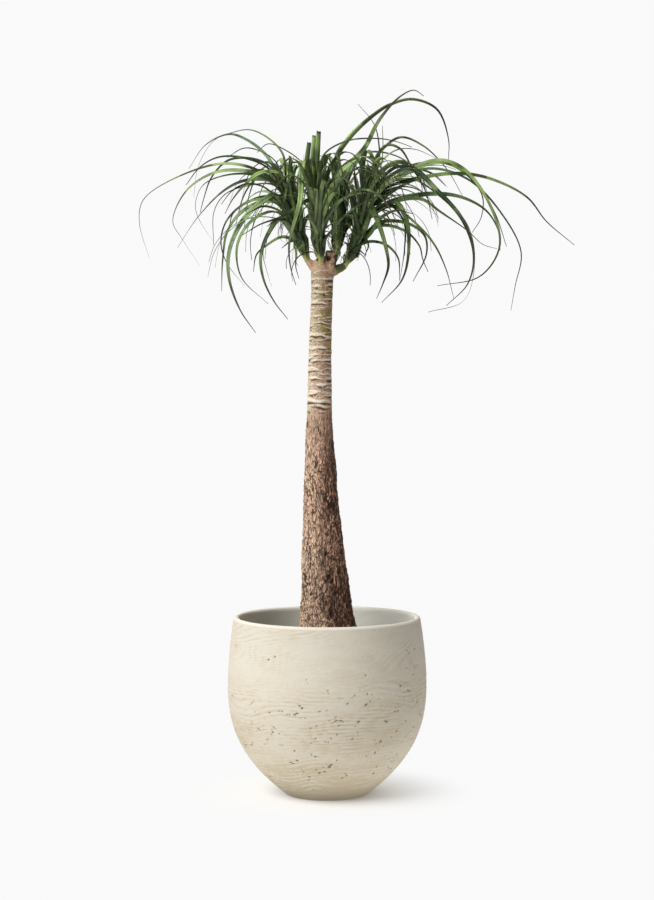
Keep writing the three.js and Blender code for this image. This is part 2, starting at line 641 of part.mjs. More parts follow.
// Which samples of a line carry a ring: even steps of its length and its bend together.
function stations(line) {
  const length = line.at(-1).distanceTo(line.at(-2)) * (line.length - 1);
  const count = THREE.MathUtils.clamp(Math.round(length / BLADE_PITCH), FEWEST_LENGTHS, MOST_LENGTHS);
  const bends = line.map((point, i) => {
    if (i < 1 || i > line.length - 2) return 0;
    return point.clone().sub(line[i - 1]).angleTo(line[i + 1].clone().sub(point));
  });
  const wholeBend = bends.reduce((sum, bend) => sum + bend, 0);
  const even = (1 - BEND_SHARE) / (line.length - 1);
  const run = [0];
  for (let i = 1; i < line.length; i++) {
    const bend = (bends[i - 1] + bends[i]) / 2;
    run.push(run[i - 1] + even + (BEND_SHARE * bend) / wholeBend);
  }
  return Array.from({ length: count + 1 }, (_, k) => {
    const wanted = (k / count) * run.at(-1) - 1e-9;
    return Math.max(0, run.findIndex((value) => value >= wanted));
  });
}

// A blade: rings of two edges and a keel, on a line through the samples, turned a little along the way.
function blade(leaf) {
  const last = leaf.line.length - 1;
  const root = leaf.line[0];
  const out = leaf.blunt ? FRONT : leaf.line[last].clone().sub(root).setZ(0).normalize();
  const level = UP.clone().cross(out);
  const rings = [];
  for (const at of stations(leaf.line)) {
    const share = at / last;
    const ahead = leaf.line[Math.min(last, at + 1)];
    const tangent = ahead.clone().sub(leaf.line[Math.max(0, at - 1)]).normalize();
    const across = level.clone().addScaledVector(tangent, -level.dot(tangent)).normalize();
    const normal = tangent.clone().cross(across);
    const roll = leaf.roll + leaf.twist * share;
    const side = across.clone().multiplyScalar(Math.cos(roll)).addScaledVector(normal, Math.sin(roll));
    const under = tangent.clone().cross(side).multiplyScalar(-1);
    const width = bladeWidth(leaf.width, share, leaf.blunt) * (at ? 1 : ROOT_SHARE);
    const keel = Math.max(LEAST_KEEL, KEEL * width);
    const middle = leaf.line[at];
    rings.push([
      middle.clone().addScaledVector(side, width / 2).addScaledVector(under, -keel / 2),
      middle.clone().addScaledVector(side, -width / 2).addScaledVector(under, -keel / 2),
      middle.clone().addScaledVector(under, keel / 2),
    ]);
  }
  return loft(rings);
}

// Each head is one grown piece: its stem with every leaf's root sunk into it. Most leaves show their top face
// to the front, whichever side they lean to.
function headGeometry(head) {
  const stem = stems[head];
  const [socket] = socketPath(HEADS[head].path, 0);
  const pieces = [solidOf(tube([socket, ...stem], [STEM_RADII[0], ...STEM_RADII], STEM_SIDES))];
  for (const leaf of leaves[head]) {
    const out = leaf.line.at(-1).clone().sub(leaf.line[0]).setZ(0).normalize();
    const turned = leaf.blunt ? 0 : degrees;
    leaf.roll = drawBetween(...ROLLS) * turned * out.x * (draw() < ROLLED_BACK ? -1 : 1);
    leaf.twist = drawBetween(-TWIST, TWIST) * turned;
    pieces.push(solidOf(blade(leaf)));
  }
  return geometryOf(wholeBody(wasm.Manifold.union(pieces)));
}

for (const head of Object.keys(HEADS)) {
  for (const row of PLACED[head]) leaves[head].push(placeLeaf(head, row));
}
const most = Math.max(...Object.values(HEADS).map(({ fillers }) => fillers));
for (let i = 0; i < most; i++) {
  for (const [head, { fillers }] of Object.entries(HEADS)) {
    if (i >= fillers) continue;
    const leaf = fillerLeaf(head, i);
    if (leaf) leaves[head].push(leaf);
  }
}

const materials = {
  castStone: new THREE.MeshStandardMaterial({ color: 0xcfc6b6, roughness: 0.9, metalness: 0 }),
  darkSoil: new THREE.MeshStandardMaterial({ color: 0x3a2c22, roughness: 1, metalness: 0 }),
  corkyBark: new THREE.MeshStandardMaterial({ color: 0x9a7a63, roughness: 0.95, metalness: 0 }),
  leafGreen: new THREE.MeshStandardMaterial({ color: 0x55702c, roughness: 0.55, metalness: 0 }),
};

const palm = new THREE.Group();

function addPiece(name, geometry, material) {
  const mesh = new THREE.Mesh(geometry, material);
  mesh.name = name;
  palm.add(mesh);
}

addPiece("pot", pot(), materials.castStone);
addPiece("soil", soil(), materials.darkSoil);
addPiece("trunk", trunk(), materials.corkyBark);
for (const head of Object.keys(HEADS)) {
  addPiece(head, headGeometry(head), materials.leafGreen);
}

export default palm;
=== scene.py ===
# Potted ponytail palm: the finish of its planter, soil, trunk and four heads of leaves.
# Metres, +Z up. The origin is the middle of the pot's foot, the front faces -Y, +X is to the right.

import math

import bmesh
import bpy
import numpy as np
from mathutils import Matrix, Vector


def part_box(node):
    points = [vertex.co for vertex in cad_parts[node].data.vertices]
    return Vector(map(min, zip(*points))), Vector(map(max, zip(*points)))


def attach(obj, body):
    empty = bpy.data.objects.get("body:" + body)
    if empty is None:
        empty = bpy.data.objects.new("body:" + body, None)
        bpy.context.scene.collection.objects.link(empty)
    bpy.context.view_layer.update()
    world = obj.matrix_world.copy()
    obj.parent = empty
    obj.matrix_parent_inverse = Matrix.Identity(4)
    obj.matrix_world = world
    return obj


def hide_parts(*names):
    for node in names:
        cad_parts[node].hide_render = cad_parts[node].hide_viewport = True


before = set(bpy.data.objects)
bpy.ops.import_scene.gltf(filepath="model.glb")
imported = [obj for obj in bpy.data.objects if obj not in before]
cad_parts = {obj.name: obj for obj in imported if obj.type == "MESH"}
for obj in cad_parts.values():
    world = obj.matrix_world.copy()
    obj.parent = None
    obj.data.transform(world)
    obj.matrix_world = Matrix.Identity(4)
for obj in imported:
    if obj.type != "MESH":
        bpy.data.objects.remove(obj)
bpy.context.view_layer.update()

# The view. The camera stands a little under four metres away, a little lower than the leaves, and looks
# level, so that upright things stay upright. Its lens is shifted down, below the row of the eye's height.
EYE_DISTANCE = 3.79
EYE_HEIGHT = 0.778
EYE_ROW = 374
PHOTO_ROWS = 900
LENS = 81.5

view = bpy.data.objects.new("view", bpy.data.cameras.new("view"))
view.data.lens = LENS
view.data.shift_y = EYE_ROW / PHOTO_ROWS - 0.5
view.location = (0, -EYE_DISTANCE, EYE_HEIGHT)
view.rotation_euler = (math.pi / 2, 0, 0)
bpy.context.scene.collection.objects.link(view)
bpy.context.scene.camera = view
bpy.context.scene.view_settings.view_transform = "Standard"
bpy.context.scene.cycles.use_denoising = True


# The studio. A pale floor lies under the pot and runs out into the same pale tone as the backdrop.
# The key light is one broad soft source at the left and above, and the room is darker to the right.
BACKDROP = 0.952
FLOOR_COLOUR = (0.920, 0.920, 0.9154, 1)
FLOOR_SIZE = 60.0
FLOOR_LIT = 0.01
FLOOR_FADED = 0.285
BOUNCE_NEAR = 0.45
BOUNCE_FAR = 1.60
BOUNCE = 1.38
BOUNCE_REST = 0.30
SHADE = 0.36
SHADE_FROM = 0.078
SHADE_TO = 0.17
KEY_STRENGTH = 3.00
KEY_SPREAD = math.radians(45)
KEY_HEIGHT = math.radians(42)
KEY_SIDE = math.radians(52)
KEY_COLOUR = (1.0, 0.992, 0.978)
ROOM_DARK = 0.09
ROOM_LEFT = 0.19
ROOM_BEHIND = 0.26
ROOM_ABOVE = 0.27
PLAIN_WHITE = (1, 1, 1, 1)
FILL_WARM = (1.0, 0.985, 0.935, 1)


def node(tree, kind, inputs=None, **settings):
    """One node of a tree. An input that is another node's output is linked, and any other is set."""
    made = tree.nodes.new("ShaderNode" + kind)
    for key, value in settings.items():
        setattr(made, key, value)
    for key, value in (inputs or {}).items():
        if isinstance(value, bpy.types.NodeSocket):
            tree.links.new(value, made.inputs[key])
        else:
            made.inputs[key].default_value = value
    return made


def maths(tree, operation, *values):
    """The result of a plain operation on numbers."""
    return node(tree, "Math", dict(enumerate(values)), operation=operation).outputs[0]


def times(tree, first, second):
    """The product of two values."""
    return maths(tree, "MULTIPLY", first, second)


def plus(tree, first, second):
    """The sum of two values."""
    return maths(tree, "ADD", first, second)


def minus(tree, first, second):
    """The first value less the second."""
    return maths(tree, "SUBTRACT", first, second)


def eased(tree, value, low, high, to_low=0.0, to_high=1.0):
    """A value carried from one range to another, flat at both ends."""
    limits = {"Value": value, "From Min": low, "From Max": high, "To Min": to_low, "To Max": to_high}
    return node(tree, "MapRange", limits, interpolation_type="SMOOTHSTEP").outputs[0]


def shine(tree, seen, thrown):
    """The colour and strength of a light: the plain backdrop where the camera sees it directly, and
    elsewhere a slightly warm fill of the strength that it throws."""
    tint = node(tree, "Mix", {0: seen, 6: FILL_WARM, 7: PLAIN_WHITE}, data_type="RGBA").outputs[2]
    strength = node(tree, "Mix", {0: seen, 2: thrown, 3: BACKDROP}, data_type="FLOAT").outputs[0]
    return {"Color": tint, "Strength": strength}


def light_room():
    """The room's light: dark at the front and right, and paler to the left, above and behind."""
    world = bpy.data.worlds.new("room")
    bpy.context.scene.world = world
    world.use_nodes = True
    tree = world.node_tree
    tree.nodes.clear()
    direction = node(tree, "TexCoord").outputs["Generated"]
    x, y, z = node(tree, "SeparateXYZ", {0: direction}).outputs
    left = eased(tree, x, 0.3, -1.0, 0.0, ROOM_LEFT)
    behind = eased(tree, y, -0.1, 1.0, 0.0, ROOM_BEHIND)
    above = eased(tree, z, 0.0, 1.0, 0.0, ROOM_ABOVE)
    glow = plus(tree, plus(tree, left, behind), plus(tree, above, ROOM_DARK))
    seen = node(tree, "LightPath").outputs["Is Camera Ray"]
    node(tree, "OutputWorld", {"Surface": node(tree, "Background", shine(tree, seen, glow)).outputs[0]})


def light_key():
    """The key light: a distant disc of light that comes down from the left and the front."""
    key = bpy.data.objects.new("key", bpy.data.lights.new("key", "SUN"))
    key.data.energy = KEY_STRENGTH
    key.data.angle = KEY_SPREAD
    key.data.color = KEY_COLOUR
    key.rotation_euler = (math.pi / 2 - KEY_HEIGHT, 0, -KEY_SIDE)
    bpy.context.scene.collection.objects.link(key)


def new_material(name):
    """A material with an empty tree of nodes, and the tree."""
    material = bpy.data.materials.new(name)
    material.use_nodes = True
    material.node_tree.nodes.clear()
    return material, material.node_tree


def lay_floor():
    """The floor: lit where the camera sees it close to the pot, and further out of the backdrop's own tone.
    The light that it throws up is weaker far out and in the pot's own shade."""
    half = FLOOR_SIZE / 2
    mesh = bpy.data.meshes.new("floor")
    corners = [(-half, -half, 0), (half, -half, 0), (half, half, 0), (-half, half, 0)]
    mesh.from_pydata(corners, [], [(0, 1, 2, 3)])
    floor = bpy.data.objects.new("floor", mesh)
    bpy.context.scene.collection.objects.link(floor)
    paint, tree = new_material("floor")
    place = node(tree, "TexCoord").outputs["Object"]
    reach = node(tree, "VectorMath", {0: place}, operation="LENGTH").outputs["Value"]
    seen = node(tree, "LightPath").outputs["Is Camera Ray"]
    unseen = minus(tree, 1.0, seen)
    faded = maths(tree, "MAXIMUM", eased(tree, reach, FLOOR_LIT, FLOOR_FADED), unseen)
    bounce = eased(tree, reach, BOUNCE_FAR, BOUNCE_NEAR, BOUNCE_REST, BOUNCE)
    bounce = times(tree, bounce, eased(tree, reach, SHADE_FROM, SHADE_TO, SHADE, 1.0))
    lit = node(tree, "BsdfDiffuse", {"Color": FLOOR_COLOUR}).outputs[0]
    far = node(tree, "Emission", shine(tree, seen, bounce)).outputs[0]
    shown = node(tree, "MixShader", {0: faded, 1: lit, 2: far}).outputs[0]
    node(tree, "OutputMaterial", {"Surface": shown})
    mesh.materials.append(paint)


light_room()
light_key()
lay_floor()


# The planter: one shell of pale fibre and stone mix, cast in a mould and brushed while it was wet.
# Strokes run round it and slope up towards the right under the lip, and air left small pits lower down.
POT_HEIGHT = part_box("pot")[1].z
BELLY_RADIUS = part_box("pot")[1].x
BELLY_HEIGHT = 0.210
FOOT_RADIUS = 0.076
FOOT_ROUND = 0.0015
LIP_RADIUS = 0.173
LOWER_CURVE = 2.6
UPPER_CURVE = 1.57
WALL = 0.011
FOOT_THICKENING = 0.6
POT_FLOOR = 0.018
POT_COLUMNS = 440
OUTSIDE_FROM = 0.003
OUTSIDE_ROWS = 138
LIP_ROWS = 12
# Rows down the inside: so many to the first height, and so many from the second to the floor.
INSIDE_PARTS = ((0.255, 24), (0.240, 9))
POLE_RADIUS = 0.0004
FOOT_RINGS = (0.040, 0.070)
FLOOR_RING = 0.050
STROKE_PITCH = 0.0068
FINER_PITCH = STROKE_PITCH * 0.43
STROKE_DEPTH = 0.00042
STROKE_SLOPE = 0.40
FOOT_SLOPE = 0.10
STROKE_BENDS = (0.016, 0.0035)
SKIN_FROM = 0.002
SKIN_TO = 0.3265
SKIN_FADES = (0.020, 0.008)
WAVER_DEPTH = 0.0006
LIP_WAVER_DEPTH = 0.0004
LIP_WAVER_FROM = 0.25
PIT_GROUPS = 230
PIT_DEPTH = 0.0016
PIT_LOWEST = 0.02
PIT_RANGE = 0.27
PIT_SPACES = (0.004, 0.009)
PIT_HALF_LENGTHS = (0.0010, 0.0034)
PIT_HALF_HEIGHTS = (0.0008, 0.0019)
PIT_SCATTER = 0.0022
STONE_PALE = (0.565, 0.520, 0.440, 1)
STONE_WARM = (0.480, 0.406, 0.294, 1)
STONE_INSIDE_PAINTED_LIGHT = (0.92, 0.93, 0.845, 1)
STONE_PIT_SHADE = (0.140, 0.114, 0.082, 1)
STONE_PAINTED_LIGHT = (1.0, 0.975, 0.900, 1)
STONE_LIP_PALE_AND_LIT = (0.800, 0.760, 0.675, 1)
LIP_PALE_FROM = 0.3215
LIP_PALE_TO = 0.3255


def ease(t):
    """From 0 to 1 with level ends: 3t^2 - 2t^3."""
    t = np.clip(t, 0, 1)
    return t * t * (3 - 2 * t)


def lattice_noise(u, v, columns, rows, seed):
    """Smooth noise from -1 to 1: the random values of a lattice, mixed by ease between its points. Across,
    u from 0 to 1 closes on itself. Up, v from 0 to 1 doesn't."""
    table = np.random.default_rng(seed).uniform(-1, 1, (rows + 2, columns))
    x = np.mod(u, 1) * columns
    y = np.clip(v, 0, 1) * rows
    i, j = np.floor(x).astype(int), np.floor(y).astype(int)
    across, up = ease(x - i), ease(y - j)
    near, far = i % columns, (i + 1) % columns
    low = table[j, near] * (1 - across) + table[j, far] * across
    high = table[j + 1, near] * (1 - across) + table[j + 1, far] * across
    return low * (1 - up) + high * up


def layered_noise(u, v, columns, rows, layers, seed):
    """Lattice noise with finer layers added, each with twice the cells and half the strength."""
    return sum(lattice_noise(u, v, columns << k, rows << k, seed + k) / 2**k for k in range(layers))


def strand_mesh(name, points):
    """A mesh of closed strands. points has the axes strand, ring, side and x y z. Each ring joins the next
    one and closes on itself, and the first and last ring of a strand are filled. Rings run anticlockwise as
    seen from the last one, so that faces point outwards."""
    strands, rings, sides = points.shape[:3]
    first = (np.arange(strands) * rings * sides)[:, None, None]
    ring = (np.arange(rings - 1) * sides)[None, :, None]
    side = np.arange(sides)[None, None, :]
    corners = [first + ring + side, first + ring + (side + 1) % sides]
    quads = np.stack([corners[0], corners[1], corners[1] + sides, corners[0] + sides], -1).reshape(-1)
    low = (first[:, 0] + np.arange(sides)[::-1]).reshape(-1)
    high = (first[:, 0] + (rings - 1) * sides + np.arange(sides)).reshape(-1)
    corner_count = np.concatenate([np.full(quads.size // 4, 4), np.full(2 * strands, sides)])
    mesh = bpy.data.meshes.new(name)
    mesh.vertices.add(points.size // 3)
    mesh.vertices.foreach_set("co", points.astype(np.float32).ravel())
    mesh.loops.add(quads.size + low.size + high.size)
    mesh.loops.foreach_set("vertex_index", np.concatenate([quads, low, high]).astype(np.int32))
    mesh.polygons.add(corner_count.size)
    mesh.polygons.foreach_set("loop_start", (np.cumsum(corner_count) - corner_count).astype(np.int32))
    mesh.update(calc_edges=True)
    mesh.shade_smooth()
    return mesh


def add_piece(name, mesh, material, slot, replaces=(), **values):
    """Puts a mesh in the scene as a piece of the plant: its material, body and the solid pieces that it
    replaces. Each further array becomes an attribute of the mesh's points. The slot is not used."""
    for key, value in values.items():
        attribute = mesh.attributes.new(key, "FLOAT", "POINT")
        attribute.data.foreach_set("value", np.asarray(value, np.float32).ravel())
    mesh.materials.append(material)
    piece = bpy.data.objects.new(name, mesh)
    bpy.context.scene.collection.objects.link(piece)
    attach(piece, "root")
    if replaces:
        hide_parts(*replaces)


def outer_radius(z):
    """The planter's radius outside at a height: one power curve below the belly and another above it."""
    below = np.clip(1 - z / BELLY_HEIGHT, 0, 1)
    above = np.clip((z - BELLY_HEIGHT) / (POT_HEIGHT - BELLY_HEIGHT), 0, 1)
    lower = FOOT_RADIUS + (BELLY_RADIUS - FOOT_RADIUS) * (1 - below**LOWER_CURVE)
    return np.where(z < BELLY_HEIGHT, lower, BELLY_RADIUS - (BELLY_RADIUS - LIP_RADIUS) * above**UPPER_CURVE)


def inner_radius(z):
    """The radius inside: the outside less the wall, which grows thicker in step with the depth below the
    belly."""
    return outer_radius(z) - WALL * (1 + FOOT_THICKENING * np.clip(1 - z / BELLY_HEIGHT, 0, 1))


def pot_outline():
    """The section from the middle of the foot, up the outside, over the half-round lip and down the inside
    to the middle of the floor, as radius and height, with 1 on the outer wall and 1 on the inside."""
    lip_height = POT_HEIGHT - WALL / 2
    turn = np.linspace(0, math.pi, LIP_ROWS)
    lip_radius = outer_radius(lip_height) - WALL / 2 + WALL / 2 * np.cos(turn)
    up = np.linspace(OUTSIDE_FROM, lip_height, OUTSIDE_ROWS)[:-1]
    (upper_to, upper_rows), (lower_from, lower_rows) = INSIDE_PARTS
    upper = np.linspace(lip_height, upper_to, upper_rows)[1:]
    down = np.concatenate([upper, np.linspace(lower_from, POT_FLOOR, lower_rows)])
    foot = [POLE_RADIUS, *FOOT_RINGS, FOOT_RADIUS, FOOT_RADIUS + FOOT_ROUND]
    foot_height = [0, 0, 0, 0, FOOT_ROUND]
    floor = [FLOOR_RING, POLE_RADIUS]
    radius = np.concatenate([foot, outer_radius(up), lip_radius, inner_radius(down), floor])
    height = np.concatenate([foot_height, up, lip_height + WALL / 2 * np.sin(turn), down, [POT_FLOOR] * 2])
    row = np.arange(len(radius))
    lip_row = len(foot) + len(up)
    outside = ((row >= len(foot)) & (row < lip_row)).astype(float)
    inside = (row >= lip_row + LIP_ROWS - 1).astype(float)
    return radius, height, outside, inside


def brush_strokes(x, z, u):
    """The height of the strokes, from -1 to 1: waves across a field that climbs to the right below the lip,
    bent by slow noise, strong only in patches and broken into short dashes."""
    up = z / POT_HEIGHT
    climb = STROKE_SLOPE * ease((up - 0.55) / 0.4) * x + FOOT_SLOPE * x * ease((0.3 - up) / 0.3)
    slow, quick = STROKE_BENDS
    bend = slow * layered_noise(u, up, 5, 3, 2, 31) + quick * layered_noise(u, up, 18, 10, 2, 41)
    waves = np.sin(math.tau * (z - climb + bend) / STROKE_PITCH)
    finer = np.sin(math.tau * (z - 0.8 * climb + 1.4 * bend) / FINER_PITCH + 5 * u)
    patches = ease(0.55 + 0.75 * layered_noise(u, up, 9, 7, 2, 51))
    breaks = ease(0.60 + 1.1 * layered_noise(u + 0.1 * up, up, 44, 38, 2, 61))
    return (0.75 * waves + 0.35 * finer) * (0.25 + 0.75 * patches) * (0.10 + 1.15 * breaks)


def pit_field(u, z, radius):
    """How deep the air pits go at each point, from 0 to 1: short rows of flat ovals, most of them below the
    belly. With d the distance from an oval's middle in its half widths, it falls off as exp(-d^3)."""
    draw = np.random.default_rng(8)
    depth = np.zeros_like(u)
    for _ in range(PIT_GROUPS):
        start_u = draw.uniform()
        start_z = PIT_LOWEST + PIT_RANGE * draw.beta(1.5, 1.9)
        slope = draw.normal(0, 0.5)
        for step in range(draw.integers(1, 5)):
            half_length = draw.uniform(*PIT_HALF_LENGTHS)
            half_height = draw.uniform(*PIT_HALF_HEIGHTS)
            along = step * draw.uniform(*PIT_SPACES)
            middle_z = start_z + slope * along + draw.normal(0, PIT_SCATTER)
            turn = (u - start_u + 0.5) % 1 - 0.5
            across = turn * math.tau * radius - along
            off = (z - middle_z - slope * across * 0.5) / half_height
            far = np.minimum((across / half_length) ** 2 + off**2, 20)
            depth = np.maximum(depth, draw.uniform(0.5, 1.0) * np.exp(-(far**1.5)))
    return depth


def reading(tree, name):
    """The value of one of the piece's own attributes."""
    return node(tree, "Attribute", attribute_name=name).outputs["Fac"]


def noise(tree, place, scale, detail, roughness):
    """Blender's own noise, from 0 to 1, read at a place."""
    inputs = {"Vector": place, "Scale": scale, "Detail": detail, "Roughness": roughness}
    return node(tree, "TexNoise", inputs).outputs[0]


def mixed(tree, share, first, second):
    """Two colours mixed by a share from 0 to 1."""
    return node(tree, "Mix", {0: share, 6: first, 7: second}, data_type="RGBA").outputs[2]


def coats(tree, colour, *layers):
    """A colour under further layers. Each layer has the value that it follows, where it starts and where it
    is full along that value, how much it covers there, and its colour."""
    for value, start, full, cover, over in layers:
        colour = mixed(tree, eased(tree, value, start, full, 0.0, cover), colour, over)
    return colour


def stretched(tree, place, scale):
    """A place with its axes scaled, so that what is read there grows shorter or longer along them."""
    return node(tree, "Mapping", {"Vector": place, "Scale": scale}).outputs[0]


def finish(tree, colour, roughness, gloss, relief, strength, depth):
    """Ends a material in one principled shader, with a relief as its bump."""
    bump = node(tree, "Bump", {"Strength": strength, "Distance": depth, "Height": relief}).outputs[0]
    inputs = {"Base Color": colour, "Roughness": roughness, "Specular IOR Level": gloss, "Normal": bump}
    shader = node(tree, "BsdfPrincipled", inputs)
    node(tree, "OutputMaterial", {"Surface": shader.outputs[0]})


def stone_material():
    """Pale cast stone: cream and beige in slow clouds and along the strokes, warmer towards the foot, with
    painted light on its upper part, a lip of paler stone with painted light from above on it, the inside
    painted near white as light falling on it, and painted shade in the pits. The bump has fine grain and the
    pits."""
    material, tree = new_material("cast_stone")
    place = node(tree, "TexCoord").outputs["Object"]
    height = node(tree, "SeparateXYZ", {0: place}).outputs[2]
    flat = stretched(tree, place, (1, 1, 3.2))
    clouds = noise(tree, flat, 9.0, 4, 0.6)
    mottle = noise(tree, flat, 70.0, 5, 0.7)
    grain = noise(tree, place, 900.0, 3, 0.7)
    specks = noise(tree, flat, 330.0, 2, 0.5)
    sand = noise(tree, flat, 240.0, 3, 0.7)
    inside = reading(tree, "inside")
    warmth = times(tree, minus(tree, clouds, 0.21), 1.3)
    warmth = plus(tree, warmth, times(tree, mottle, 0.55))
    warmth = plus(tree, warmth, times(tree, reading(tree, "stroke"), -0.52))
    warmth = plus(tree, warmth, eased(tree, height, 0.10, 0.0, 0.0, 0.42))
    warmth = plus(tree, warmth, times(tree, minus(tree, sand, 0.5), 0.9))
    body = coats(
        tree,
        STONE_PALE,
        (warmth, 0.42, 1.15, 1.0, STONE_WARM),
        # Painted light: the upper part of the pot is lighter.
        (height, 0.12, 0.26, 0.22, STONE_PAINTED_LIGHT),
        # Partly the rim's own paler stone and partly painted light from above on the lip's top.
        (height, LIP_PALE_FROM, LIP_PALE_TO, 1.0, STONE_LIP_PALE_AND_LIT),
    )
    # Painted light: the inside is the same stone painted near white, so the inner wall looks lit.
    body = mixed(tree, inside, body, STONE_INSIDE_PAINTED_LIGHT)
    ragged = times(tree, minus(tree, mottle, 0.5), 0.9)
    large = eased(tree, plus(tree, reading(tree, "pit"), ragged), 0.30, 0.55)
    small = times(tree, eased(tree, specks, 0.69, 0.77), eased(tree, height, 0.27, 0.17, 0.2, 0.7))
    small = times(tree, small, minus(tree, 1.0, inside))
    holes = maths(tree, "MAXIMUM", large, small)
    # Painted shade: the pits and the fine specks of tiny holes are darkened.
    colour = mixed(tree, times(tree, holes, 0.78), body, STONE_PIT_SHADE)
    relief = plus(tree, times(tree, grain, 0.35), times(tree, mottle, 0.8))
    relief = minus(tree, relief, times(tree, holes, 1.6))
    finish(tree, colour, roughness=0.88, gloss=0.25, relief=relief, strength=0.80, depth=0.0013)
    return material


def turned(radius, height, u, middle=0.0):
    """The points of a surface turned about an upright axis, at each share u of the turn."""
    turn = math.tau * u
    return np.stack([middle + radius * np.cos(turn), radius * np.sin(turn), height], -1)


def cast_pot():
    """The planter: its outline turned about the upright axis, with the strokes, the waver of the mould and
    the pits taken off or added along the radius."""
    radius, height, outside, inside = pot_outline()
    u = np.broadcast_to(np.arange(POT_COLUMNS) / POT_COLUMNS, (len(radius), POT_COLUMNS))
    z = np.broadcast_to(height[:, None], u.shape)
    wide = radius[:, None] * np.ones_like(u)
    above, below = SKIN_FADES
    skin = (outside * ease((height - SKIN_FROM) / above) * ease((SKIN_TO - height) / below))[:, None]
    strokes = brush_strokes(wide * np.cos(math.tau * u), z, u)
    pits = pit_field(u, z, wide) * skin
    waver = layered_noise(u, z / POT_HEIGHT, 4, 3, 3, 21)
    lip = (1 - outside)[:, None] * (z > LIP_WAVER_FROM)
    lip_waver = layered_noise(u, z / POT_HEIGHT, 14, 3, 3, 27) * lip
    wide = wide + skin * (STROKE_DEPTH * strokes - PIT_DEPTH * pits) + LIP_WAVER_DEPTH * lip_waver
    wide = wide + WAVER_DEPTH * (waver - 1) * skin
    mesh = strand_mesh("planter", turned(wide, z, u)[None])
    values = {"stroke": strokes * skin, "pit": pits, "inside": inside[:, None] * np.ones_like(u)}
    add_piece("planter", mesh, stone_material(), "cast_stone", ["pot"], **values)


cast_pot()


# The soil: dark, fibrous potting mix that fills the planter to six centimetres under its lip and rises a
# little towards the trunk. Bits of bark and pumice lie loose on it.
SOIL_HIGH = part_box("soil")[1]
SOIL_EDGE_HEIGHT = 0.262
SOIL_SIDE_TO = SOIL_EDGE_HEIGHT - 0.004
SOIL_COLUMNS = 260
SOIL_SIDE_ROWS = 14
SOIL_TOP_ROWS = 70
SOIL_GAP = 0.0003
SOIL_ROUGHNESS = 0.0021
SOIL_WET = (0.016, 0.010, 0.007, 1)
SOIL_DRY = (0.085, 0.054, 0.035, 1)
SOIL_FIBRE = (0.16, 0.105, 0.065, 1)
BARK_BIT = (0.13, 0.070, 0.040, 1)
PUMICE_BIT = (0.50, 0.46, 0.40, 1)
CRUMBS = 560
CRUMB_SIZES = (0.0014, 0.0046)
CRUMB_FLATNESS = 0.6
CRUMB_PLACES = (0.13, 0.93)
CRUMB_RINGS = 5
CRUMB_SIDES = 7
CRUMB_POLE = 0.05


def soil_material():
    """Potting mix: near black where it is wet, brown and fibrous on top, with bits of bark and pumice."""
    material, tree = new_material("soil")
    place = node(tree, "TexCoord").outputs["Object"]
    clods = noise(tree, place, 160.0, 6, 0.7)
    fibre = noise(tree, stretched(tree, place, (1, 4, 1)), 260.0, 4, 0.6)
    kind = reading(tree, "kind")
    ground = coats(tree, SOIL_WET, (clods, 0.35, 0.68, 1.0, SOIL_DRY), (fibre, 0.60, 0.72, 0.6, SOIL_FIBRE))
    bit = coats(tree, BARK_BIT, (kind, 0.70, 0.78, 1.0, PUMICE_BIT))
    colour = coats(tree, ground, (kind, 0.02, 0.05, 1.0, bit))
    finish(tree, colour, roughness=0.95, gloss=0.2, relief=clods, strength=0.8, depth=0.0012)
    return material


def soil_surface(radius, u):
    """The height of the soil: a slow rise towards the trunk, with clods of three sizes in noise."""
    rise = (SOIL_HIGH.z - SOIL_EDGE_HEIGHT) * (1 - radius / SOIL_HIGH.x)
    clods = layered_noise(u, radius / SOIL_HIGH.x, 24, 8, 3, 61)
    return SOIL_EDGE_HEIGHT + rise + SOIL_ROUGHNESS * (clods - 0.6)


def fill_soil(material):
    """The fill: the planter's inside turned about the upright axis, closed above by the rough surface."""
    side = np.linspace(POT_FLOOR + SOIL_GAP, SOIL_SIDE_TO, SOIL_SIDE_ROWS)
    top = np.linspace(1, 0.002, SOIL_TOP_ROWS)
    edge = inner_radius(np.array(SOIL_EDGE_HEIGHT)) - SOIL_GAP
    radius = np.concatenate([[POLE_RADIUS, FOOT_RINGS[0]], inner_radius(side) - SOIL_GAP, edge * top])
    u = np.broadcast_to(np.arange(SOIL_COLUMNS) / SOIL_COLUMNS, (len(radius), SOIL_COLUMNS))
    wide = radius[:, None] * np.ones_like(u)
    low = np.concatenate([[POT_FLOOR + SOIL_GAP] * 2, side])[:, None]
    surface = soil_surface(wide[-SOIL_TOP_ROWS:], u[-SOIL_TOP_ROWS:])
    z = np.concatenate([low * np.ones((1, SOIL_COLUMNS)), surface])
    mesh = strand_mesh("potting_mix", turned(wide, z, u)[None])
    add_piece("potting_mix", mesh, material, "soil", ["soil"], kind=np.zeros_like(u))


